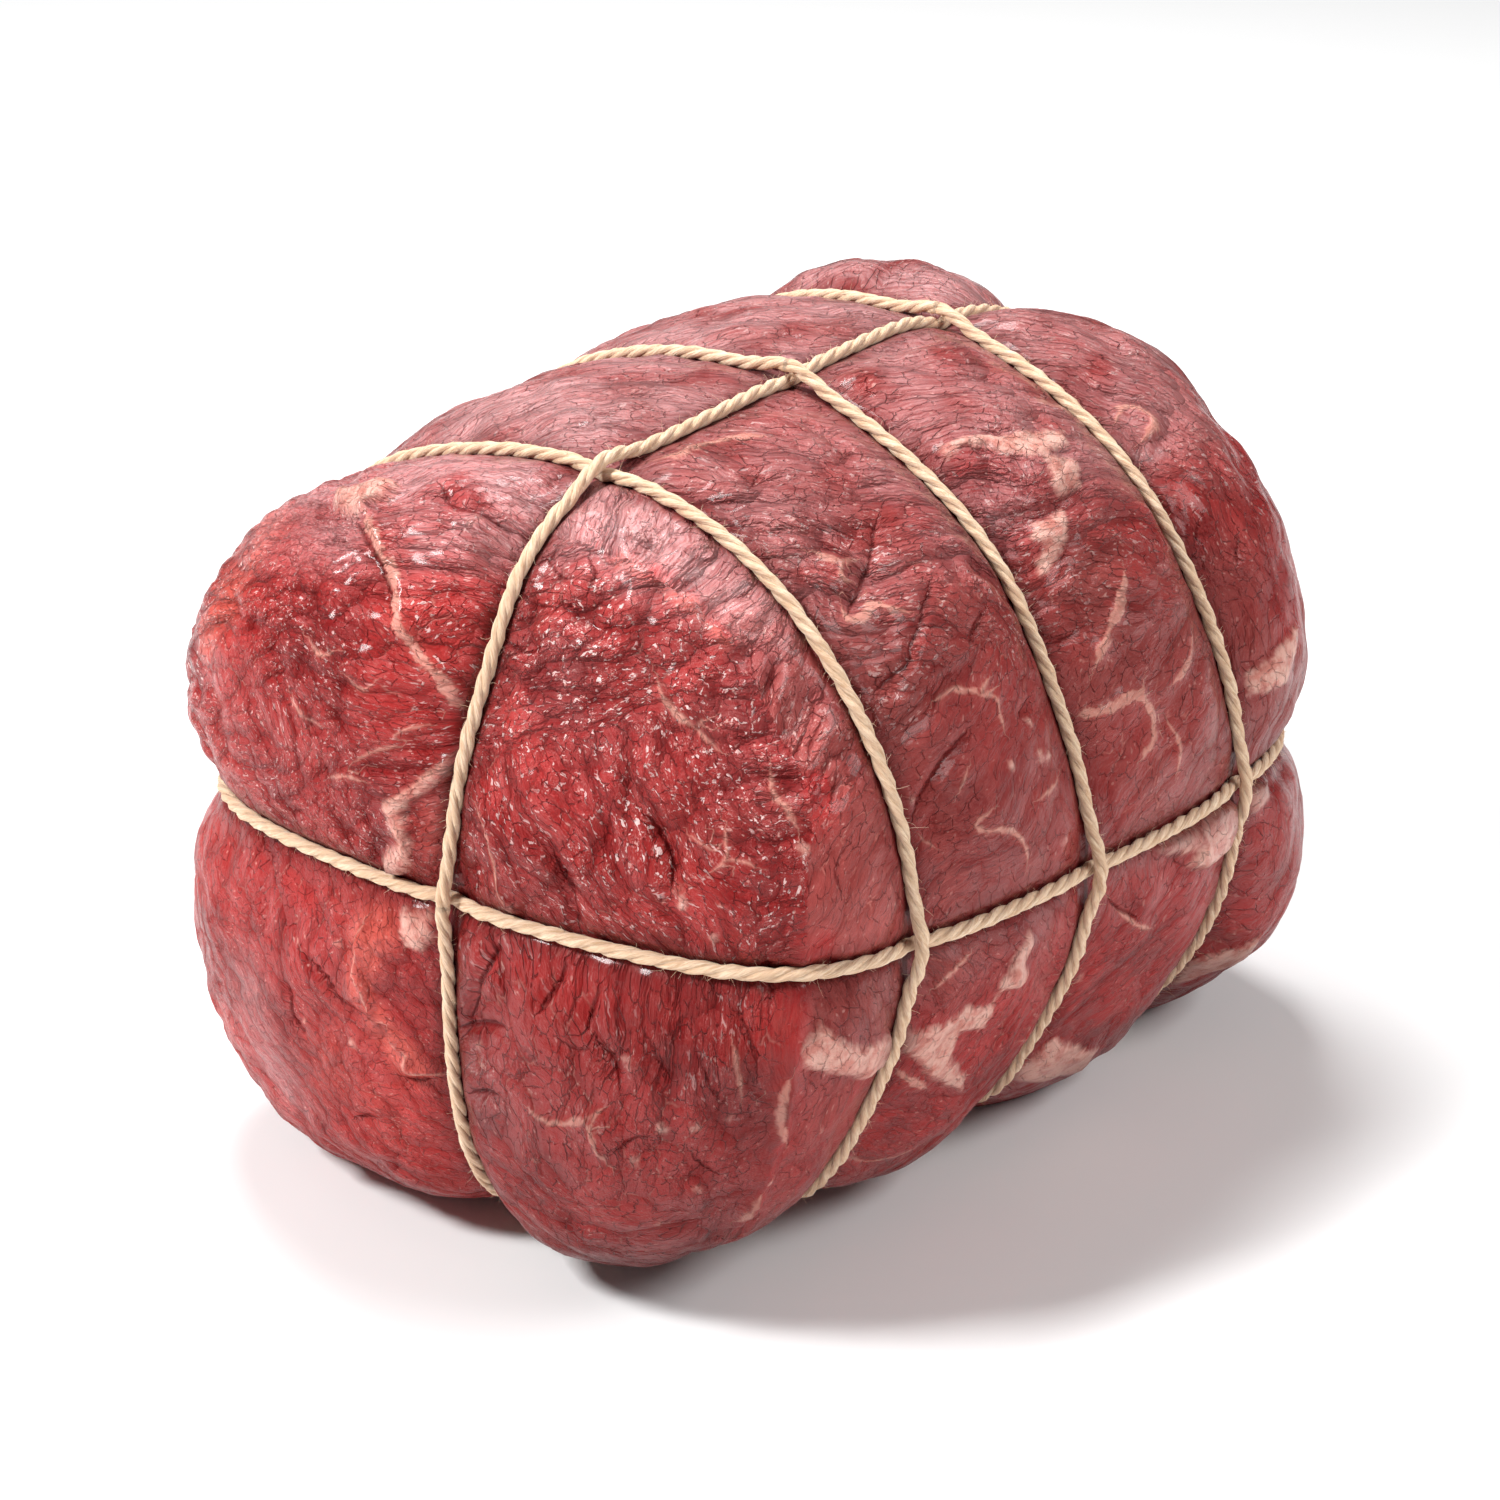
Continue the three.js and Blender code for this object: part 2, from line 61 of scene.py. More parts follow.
LOBES = [
    (-1, 0.62, 0.55, 0.36, 0.063), (-1, -0.62, 0.5, 0.36, -0.125), (-1, 0.62, -0.6, 0.36, 0.015), (-1, -0.55, -0.65, 0.36, 0.023),
    (-0.8, 0.45, 0.75, 0.3, -0.03), (-0.8, -0.45, 0.75, 0.3, 0.046), (-0.85, -0.95, 0.35, 0.3, 0.062), (-0.85, -0.95, -0.55, 0.3, -0.034),
    (-0.8, 0.95, 0.35, 0.3, -0.032), (-0.8, 0.95, -0.45, 0.3, 0.033), (-0.42, 0.5, 1, 0.3, -0.021), (-0.42, -0.45, 1, 0.3, -0.037),
    (-0.42, -1, 0.45, 0.3, -0.04), (-0.42, -1, -0.5, 0.3, -0.06), (-0.42, 1, 0.45, 0.3, -0.048), (0.25, 0.5, 1, 0.3, -0.011),
    (0.25, -0.45, 1, 0.3, -0.008), (0.25, -1, 0.45, 0.3, -0.053), (0.25, -1, -0.5, 0.3, -0.049), (0.25, 1, 0.45, 0.3, -0.001),
    (0.95, 0.45, 0.8, 0.3, 0.029), (0.95, -0.45, 0.8, 0.3, -0.011), (0.95, -0.8, 0.35, 0.3, -0.007), (0.95, -0.8, -0.45, 0.3, 0.078),
    (-0.7, -0.3, -1, 0.34, -0.047), (0.1, -0.4, -1, 0.34, 0.031), (0.8, -0.4, -1, 0.34, 0.108), (-0.98, -0.2, 0.62, 0.22, -0.051),
    (-0.95, 0.95, 0.15, 0.22, -0.025), (-0.9, 0.75, -0.95, 0.24, 0.094), (-1, -0.25, -1, 0.24, 0.02), (-0.9, 0.95, 0.75, 0.24, -0.03),
    (1, -0.9, 0.1, 0.22, 0.012), (1, -0.9, -0.25, 0.22, -0.03), (0.9, 0.5, 1, 0.24, 0.009), (0.98, -0.2, 0.85, 0.24, 0.021),
]
LOBE = np.array(LOBES)
LOBE_DIR = LOBE[:, :3] / np.linalg.norm(LOBE[:, :3], axis=1)[:, None]

TWINE_PATHS = {
    "twine_girth_front": [
        (-45.64, -7.52, 126.95), (-45.64, -10.42, 127.14), (-45.59, -15.16, 127.01), (-45.37, -24.88, 124.99), (-45.17, -34.18, 121.36), (-45.02, -42.66, 116.06),
        (-44.84, -49.98, 109.28), (-44.56, -56.1, 101.44), (-44.24, -61.01, 92.8), (-44.02, -64.61, 83.5), (-43.93, -66.79, 73.75), (-43.97, -68.28, 68.76),
        (-43.98, -68.52, 65.91), (-43.95, -68.08, 63.14), (-43.82, -66.32, 58.3), (-43.63, -63.84, 48.43), (-43.38, -60.27, 38.96), (-43.14, -56.08, 29.82),
        (-42.92, -51.27, 20.88), (-42.6, -44.43, 12.81), (-42.43, -34.62, 10.26), (-42.05, -24.93, 7.71), (-41.53, -14.88, 5.88), (-41.25, -9.61, 4.87),
        (-41.19, -7.86, 4.91), (-41.16, -6.21, 4.61), (-40.94, -0.87, 4.39), (-40.29, 12.41, 3.7), (-39.59, 25.7, 3.79), (-38.88, 38.87, 5.64),
        (-38.43, 51.46, 9.45), (-38.91, 60.37, 18.43), (-39.6, 65.35, 31), (-40.49, 67.73, 44.17), (-41.52, 67.5, 57.52), (-41.99, 67.31, 62.82),
        (-42.16, 66.9, 64.86), (-42.33, 66.62, 66.91), (-42.63, 65.1, 71.88), (-43.38, 62.26, 83.29), (-44.11, 58.42, 94.4), (-44.84, 52.74, 104.79),
        (-45.37, 44.53, 113.46), (-45.63, 34.22, 119.38), (-45.75, 23.13, 123.32), (-45.84, 11.75, 126.17), (-45.83, 0.12, 127.61), (-45.74, -4.62, 127.41),
    ],
    "twine_girth_middle": [
        (-0.72, -6.29, 131.53), (-0.7, -9.24, 130.81), (-0.65, -13.89, 128.6), (-0.67, -23.7, 124.9), (-0.77, -33.15, 120.42), (-0.92, -42.07, 114.89),
        (-1.12, -49.88, 107.77), (-1.34, -56.03, 99.23), (-1.55, -61.07, 90.11), (-1.75, -65.5, 80.65), (-1.89, -68.77, 70.66), (-1.91, -70.69, 65.85),
        (-1.93, -71.22, 62.86), (-1.95, -70.83, 59.88), (-1.94, -69.18, 54.98), (-1.84, -66.49, 44.8), (-1.66, -62.39, 35.18), (-1.42, -57.73, 25.91),
        (-1.15, -52.41, 16.76), (-0.84, -44.74, 10.27), (-0.63, -35.25, 5.84), (-0.52, -24.95, 3.3), (-0.42, -14.29, 3.25), (-0.44, -9.02, 2.97),
        (-0.45, -7.39, 3.17), (-0.47, -5.75, 2.98), (-0.54, -0.49, 3.15), (-0.74, 11.95, 3.23), (-1.03, 24.39, 4.26), (-1.44, 36.12, 7.9),
        (-2.21, 48.14, 10.57), (-2.84, 57.31, 19.46), (-3.37, 64.12, 29.96), (-3.75, 68.4, 41.73), (-3.96, 70.28, 54.08), (-4.02, 71.19, 59.23),
        (-4.06, 71.22, 61.66), (-4.09, 71.04, 64.12), (-4.07, 69.78, 69.2), (-4, 67.04, 81.55), (-3.71, 62.71, 93.41), (-3.18, 56.84, 104.62),
        (-2.54, 48.67, 114.38), (-1.94, 38.23, 121.69), (-1.43, 26.44, 126.37), (-1.02, 14.09, 129.07), (-0.76, 1.55, 130.17), (-0.72, -3.36, 131.34),
    ],
    "twine_girth_back": [
        (41.39, -3.71, 129.34), (41.24, -6.53, 128.79), (40.94, -11.3, 126.83), (40.36, -21.83, 123.93), (39.93, -31.97, 119.79), (39.69, -41.38, 114.11),
        (39.75, -49.54, 106.71), (40.14, -56.04, 97.86), (40.82, -61.17, 88.23), (41.67, -65.03, 78), (42.58, -67.24, 67.27), (42.99, -68.46, 62.19),
        (43.17, -68.6, 59.67), (43.38, -68.43, 57.11), (43.75, -67.08, 52.08), (44.45, -64.97, 41.81), (45.11, -61.67, 31.86), (45.81, -56.91, 22.54),
        (46.58, -50.99, 13.93), (48.47, -44.28, 6.26), (48.65, -34.03, 3.04), (48.39, -23.45, 3.03), (48.33, -13.04, 3.56), (48.27, -8.4, 4.91),
        (48.24, -6.14, 5.87), (48.24, -3.89, 4.9), (48.24, 0.78, 3.49), (48.49, 12.21, 3.18), (48.42, 23.5, 5.05), (48.24, 34.12, 8.71),
        (47.02, 45.04, 11.8), (46.76, 53.29, 20.04), (46.67, 59.72, 29.45), (46.66, 64.45, 39.83), (46.68, 67.43, 50.86), (46.74, 68.76, 56),
        (46.71, 68.87, 58.36), (46.69, 68.98, 60.58), (46.56, 68.45, 65.79), (46.34, 67.32, 78.25), (45.96, 63.78, 90.28), (45.41, 57.78, 101.27),
        (44.71, 49.69, 110.81), (43.95, 39.84, 118.54), (43.19, 28.53, 123.89), (42.5, 16.36, 126.71), (41.82, 4, 127.85), (41.57, -0.93, 129.11),
    ],
    "twine_length_upright": [
        (-83.01, -6.84, 68.17), (-81.83, -6.87, 73.38), (-80.32, -6.95, 80.05), (-79.01, -7.17, 86.74), (-77.03, -7.4, 93.26), (-74.4, -7.6, 99.5),
        (-71.52, -7.73, 105.55), (-68.61, -7.78, 111.65), (-64.84, -7.78, 117.49), (-59.59, -7.74, 122.2), (-53.51, -7.7, 125.72), (-49.14, -7.74, 128.51),
        (-46.2, -7.73, 129.55), (-43.22, -7.67, 129.61), (-38.29, -7.48, 128.81), (-30.67, -7.27, 128.79), (-23.15, -7.05, 128.98), (-15.65, -6.76, 129.23),
        (-8.1, -6.41, 129.4), (-3.53, -6.18, 129.18), (-0.67, -6.03, 128.93), (2.17, -5.9, 129.3), (6.73, -5.68, 129.71), (13.65, -5.32, 129.86),
        (20.55, -4.92, 129.85), (27.49, -4.5, 129.69), (34.48, -4.04, 128.87), (38.94, -3.71, 127.47), (41.49, -3.51, 126.56), (44.28, -3.32, 126.76),
        (49.01, -2.98, 126.48), (57.24, -2.31, 124.49), (65.2, -1.6, 121.32), (72.22, -0.92, 116.16), (77.05, -0.48, 108.89), (79.76, -0.35, 100.74),
        (81.34, -0.39, 92.45), (82.35, -0.52, 84.14), (83.06, -0.71, 75.84), (83.49, -0.94, 67.47), (83.15, -1.15, 60.76), (81.8, -1.31, 55.69),
        (83.28, -1.49, 50.66), (83.83, -1.74, 43.97), (83.63, -2, 37.43), (83.1, -2.29, 30.94), (82.17, -2.62, 24.46), (80.64, -3.01, 18.05),
        (78.17, -3.48, 11.71), (74.62, -4.58, 8.06), (68.94, -4.9, 4.06), (62.01, -5.13, 2.88), (55.22, -5.71, 3.22), (50.1, -6.01, 2.92),
        (48.42, -6.06, 3.05), (46.76, -6.13, 2.91), (41.59, -6.35, 3.17), (32.71, -6.64, 3.03), (23.98, -6.88, 2.99), (15.26, -7.08, 3.08),
        (6.44, -7.25, 3.7), (1.85, -7.31, 5.02), (-0.47, -7.34, 5.94), (-2.8, -7.37, 5.03), (-7.36, -7.43, 3.65), (-14.26, -7.52, 3.23),
        (-21.05, -7.62, 3.46), (-27.81, -7.7, 3.99), (-34.59, -7.69, 5.11), (-39.03, -7.63, 6.74), (-41.3, -7.59, 7.77), (-43.69, -7.55, 6.97),
        (-48.42, -7.49, 5.86), (-57.35, -7.31, 6.4), (-66.02, -7.09, 8.79), (-73.88, -6.32, 13.21), (-78.28, -6.19, 21.34), (-80.45, -6.16, 29.98),
        (-81.54, -6.19, 38.69), (-81.99, -6.26, 47.4), (-82.04, -6.38, 56.11), (-82.53, -6.55, 62.89),
    ],
    "twine_length_level": [
        (-80.36, -6.59, 68), (-80.93, -11.92, 68.11), (-80.48, -18.59, 68.26), (-79.34, -25.88, 68.4), (-77.88, -33.08, 68.52), (-76.08, -40.23, 68.57),
        (-73.75, -47.31, 68.52), (-70.34, -54.09, 68.29), (-65.22, -59.82, 67.85), (-58.66, -63.79, 67.27), (-51.39, -65.96, 66.65), (-46.6, -66.12, 66.24),
        (-43.83, -65.81, 66), (-41.25, -66.68, 65.8), (-36.75, -67.85, 65.46), (-29.88, -68.63, 64.92), (-23.05, -69.03, 64.39), (-16.22, -69.3, 63.87),
        (-9.36, -69.34, 63.34), (-4.78, -68.96, 63), (-1.96, -68.61, 62.79), (0.87, -68.93, 62.58), (5.44, -69.27, 62.24), (13.08, -69.25, 61.68),
        (20.7, -69.08, 61.14), (28.34, -68.68, 60.63), (35.98, -67.77, 60.15), (40.49, -66.71, 59.87), (43.18, -65.92, 59.7), (46.05, -66, 59.52),
        (50.75, -65.6, 59.21), (58.05, -63.7, 58.71), (65.04, -60.67, 58.19), (71.31, -56.18, 57.66), (76.08, -50.05, 57.14), (78.92, -42.91, 56.71),
        (80.36, -35.49, 56.38), (81.1, -28.09, 56.13), (81.56, -20.73, 55.94), (81.95, -13.37, 55.81), (83.16, -6.78, 55.75), (84.52, -1.51, 55.72),
        (83.64, 3.85, 55.67), (83.03, 10.54, 55.66), (83.16, 18.08, 55.69), (83.02, 25.64, 55.75), (82.42, 33.22, 55.87), (81.07, 40.77, 56.05),
        (78.51, 48.11, 56.33), (74.25, 54.71, 56.72), (68.31, 59.85, 57.17), (61.34, 63.33, 57.63), (53.96, 65.47, 58.07), (49.33, 66.12, 58.35),
        (46.4, 66.29, 58.52), (43.57, 66.97, 58.67), (39.02, 67.77, 58.93), (30.12, 68.56, 59.43), (21.23, 69.01, 59.96), (12.33, 69.28, 60.5),
        (3.41, 69.25, 61.07), (-1.16, 68.93, 61.38), (-4.05, 68.61, 61.58), (-6.97, 68.73, 61.79), (-11.54, 68.71, 62.13), (-17.36, 68.33, 62.57),
        (-23.14, 67.79, 63.03), (-28.92, 67.14, 63.49), (-34.72, 66.26, 63.96), (-39.18, 65.15, 64.32), (-41.92, 64.27, 64.54), (-44.82, 64.03, 64.76),
        (-49.42, 63.26, 65.13), (-58.37, 60.53, 65.8), (-67.1, 56.8, 66.44), (-74.86, 50.99, 67), (-79.71, 42.55, 67.34), (-81.79, 33.2, 67.5),
        (-82.51, 23.83, 67.6), (-82.61, 14.52, 67.69), (-82.38, 5.21, 67.8), (-81.73, -1.43, 67.91),
    ],
}
# places on the surface, in millimetres from the body's middle
RIM = [(-57.5, -2.4, 62), (-58.9, -8, 58.7), (-60.2, -18.4, 59.6), (-59.9, -25.6, 58.6), (-59.1, -31.3, 56.7), (-57.8, -37, 53.8), (-56.9, -42.1, 49.9), (-57.1, -47.7, 44), (-57.5, -52.5, 38.3), (-57.8, -55.9, 34.2), (-59.3, -59.1, 28.9), (-62.3, -61.4, 22), (-63.6, -62.1, 13.4), (-63.3, -60.7, 3.3), (-66.1, -61.8, -4.1), (-67.1, -61.4, -12.5), (-67.1, -59.2, -22), (-66.4, -55.1, -32.7), (-65.3, -50.5, -41.4)]
# half width, height of its ridge, step from one side to the other, points along it
PALE_SEAMS = [
    (1.05, 1.1, -0.6, [(-70.6, 18.2, 58), (-74, 12.7, 55.6), (-75.8, 8.1, 52.5), (-77.3, 5.9, 49.2), (-77.9, 4.1, 46.5), (-77.7, 1.8, 44.1), (-77.2, -0.6, 41.5), (-76.6, -2.5, 39.1), (-75.8, -4.5, 36.7), (-75.1, -5.6, 35.6)]),
    (0.3, 0.3, -1.1, [(-76.9, -6.2, 29.5), (-79.7, -3.5, 26.7), (-81.8, -1, 23.6), (-83.9, 3.2, 19.9), (-83.4, 1.5, 18.1), (-83, 0.6, 14.7), (-82.3, 0.2, 10.8)]),
    (0.5, 0.4, 0, [(-66, -35.9, 45.7), (-66.4, -37.4, 43.6), (-66.4, -38.2, 42.7), (-66.1, -40.3, 41.1), (-65.5, -42.1, 40.3), (-64.1, -43.4, 41.1)]),
    (0.35, 0.2, 0, [(-65.5, -42.1, 40.3), (-65, -44.5, 38.6), (-64.6, -46.1, 37.6)]),
    (0.6, 0.4, 0, [(-61.2, -53.3, 34.3), (-62.2, -54.2, 32.2), (-61.8, -56.5, 30), (-61.8, -58.2, 27.8)]),
    (0.2, 0.2, 0, [(-68.2, -50.7, 27.2), (-69.3, -52, 23.4), (-70.7, -50.5, 21.6)]),
    (0.2, 0.2, 0, [(-69.3, -52, 23.4), (-68.3, -53.9, 23.4), (-67.5, -55.5, 22.8)]),
    (0.2, 0.2, 0, [(-70.7, -46.5, 25.9), (-70.2, -48.6, 24.9), (-69.9, -49.9, 24.4)]),
    (0.45, 0.5, -1.0, [(-79.1, -12, 22.5), (-80.1, -14.9, 19.9), (-80.8, -16.7, 15.8), (-80.6, -17.2, 11.3), (-79.7, -19, 8)]),
    (0.3, 0.5, -1.7, [(-84, 7.9, -1.9), (-84.9, 9.2, -5.7), (-85.5, 9.6, -11.3), (-85.4, 7.9, -12.2), (-85.2, 6.6, -17.4), (-84.7, 4, -17.4), (-84.3, 3.2, -21.4), (-83.6, 1.1, -22.7), (-83.7, 1.9, -25.8), (-82.4, -1.5, -25.7), (-81.1, -4, -25.6)]),
    (0.45, 0.7, 0.7, [(-85.2, -27.1, -21.2), (-85, -30.3, -21.6), (-84.7, -33, -21.1), (-84.2, -36.2, -19.6), (-83.8, -37.9, -18.6), (-83.2, -39.7, -16.8)]),
    (0.55, 0.9, -0.7, [(-83.8, -37.9, -18.6), (-83.6, -38.4, -20.8), (-83.4, -38.8, -23.3), (-82.9, -40, -25.8)]),
    (0.4, 0.4, 0.6, [(-72.9, -56.3, -4.5), (-73, -57.1, -8.1), (-72.8, -57.5, -12.1)]),
    (0.55, 0.5, -0.8, [(-67.3, -61.5, -10.1), (-68.2, -60.7, -13.4), (-67.3, -59.9, -19.1), (-65.6, -59.6, -22.5)]),
    (0.6, 0.6, -0.6, [(-66.4, -55.1, -32.7), (-66.8, -53.3, -35.8), (-67, -51.4, -39)]),
    (0.8, 0.7, 0, [(-38.9, -11.9, 64.8), (-35.8, -13.6, 65.1), (-30.1, -13.6, 65.2), (-25.4, -15.3, 65.2), (-21.6, -17.6, 65)]),
    (0.6, 0.6, 0, [(-36.2, -40.2, 56.6), (-34.9, -41.8, 55.9), (-33.4, -43.1, 55.3), (-30.3, -43.8, 55.2)]),
    (0.5, 0.6, 0, [(-33.6, -43.3, 55.1), (-35.1, -44.9, 53.8), (-33.8, -45.6, 53.5)]),
    (0.75, 0.7, 0, [(-37.9, -47.4, 50.9), (-38.4, -48.9, 49.5), (-36.4, -49.7, 49.3), (-33.3, -49.3, 50.5), (-31.6, -50.8, 49.5), (-29.3, -52.2, 48.4)]),
    (0.6, 0.35, 0, [(-30.3, -59.8, 37.3), (-28, -59.8, 37.7), (-25.6, -60, 37.4), (-22.1, -60.8, 35.9), (-19.1, -60.3, 36.4)]),
    (0.5, 0.3, 0, [(-22.5, -60.9, 35.5), (-18.8, -61.5, 33.9), (-19.1, -62.8, 31.1), (-19, -63.5, 29.5)]),
    (0.4, 0.2, 0, [(-27.2, -67.2, 19.9), (-30.9, -67.3, 18.9), (-29.5, -67.7, 17.6), (-23.4, -68.3, 15.6), (-20.6, -68.8, 12.5), (-20, -68.9, 9.4)]),
    (0.3, 0.2, 0, [(-40.9, -64.8, 20.1), (-39.1, -65.9, 18.3)]),
    (0.35, 0.2, 0, [(-29.7, -64.7, 26.7), (-32, -65.3, 24.7)]),
    (0.35, 0.2, 0, [(-38.7, -66.6, -5.2), (-36.3, -67.5, -3.6), (-32.6, -68, -1.9)]),
    (0.6, 0.4, 0, [(-40.7, -61, -20.9), (-37.1, -60.9, -24.2), (-32.2, -60.1, -28.3)]),
    (0.3, 0.2, 0, [(-42.7, -51.4, -38.7), (-38.1, -51.3, -42.6), (-33.5, -51.3, -45.3), (-24.5, -52.9, -46.3)]),
    (1.0, 0.6, 0, [(18.5, -57.6, 40.4), (15.8, -59, 37.2), (12.6, -59.9, 34.2), (8.8, -60.5, 31.5), (7.6, -60.9, 30.2)]),
    (0.6, 0.5, 0, [(32.1, -62.7, 26.3), (28.3, -64.6, 23.1), (24.6, -65.2, 22.2)]),
    (0.85, 0.5, 0, [(1.8, -62.5, 23.9), (6, -63.8, 23.2), (10.5, -64.1, 23.6), (14.9, -64.7, 23), (16.9, -66.2, 19.3), (15.8, -67.2, 16.4), (12.4, -67.6, 14.4)]),
    (0.5, 0.4, 0, [(14.9, -64.7, 23), (16.4, -64.2, 24.6)]),
    (0.8, 0.9, 0, [(43.8, -38.5, 54.1), (47, -37.8, 55.6), (49.4, -40.2, 54.6), (48.5, -42.6, 52.8), (45, -42.9, 51.5)]),
    (0.45, 0.3, 0, [(21.1, -67.1, 17), (22.2, -68.1, 13.1), (20.6, -68.7, 9.4)]),
    (0.3, 0.2, 0, [(-14.9, -67.6, 17.2), (-11, -66.9, 17.4), (-8.6, -66.3, 17.7)]),
    (0.35, 0.3, 0, [(7.4, -68.6, -11.1), (12.5, -68, -15.5), (17.9, -67.3, -18.8)]),
    (0.3, 0.2, 0, [(-10.2, -61.7, -29.1), (-4.8, -60.1, -30.3), (-2.7, -60.4, -28.3)]),
    (0.3, 0.3, 0, [(-83.7, 17.8, 42.5), (-83.9, 15.2, 41), (-83.2, 13, 41.7)]),
    (0.3, 0.3, 0, [(-83.4, 9.7, 38.4), (-83.1, 7.6, 37.3), (-82.4, 6.4, 38)]),
    (0.3, 0.3, 0, [(-86.4, 20.1, 33.1), (-86.4, 17.9, 31.2), (-86.1, 15.2, 30.7)]),
    (0.3, 0.3, 0, [(-82.2, 2.3, 31.1), (-80.8, 0.2, 32.5), (-79.3, -1.8, 33)]),
    (0.3, 0.3, 0, [(-85, 7.8, 26.3), (-83.8, 4.8, 28.3), (-82.4, 1.9, 29.4)]),
    (0.3, 0.3, 0, [(-86, 12.7, 22), (-85.6, 10, 23.2), (-85, 7, 23.1)]),
]
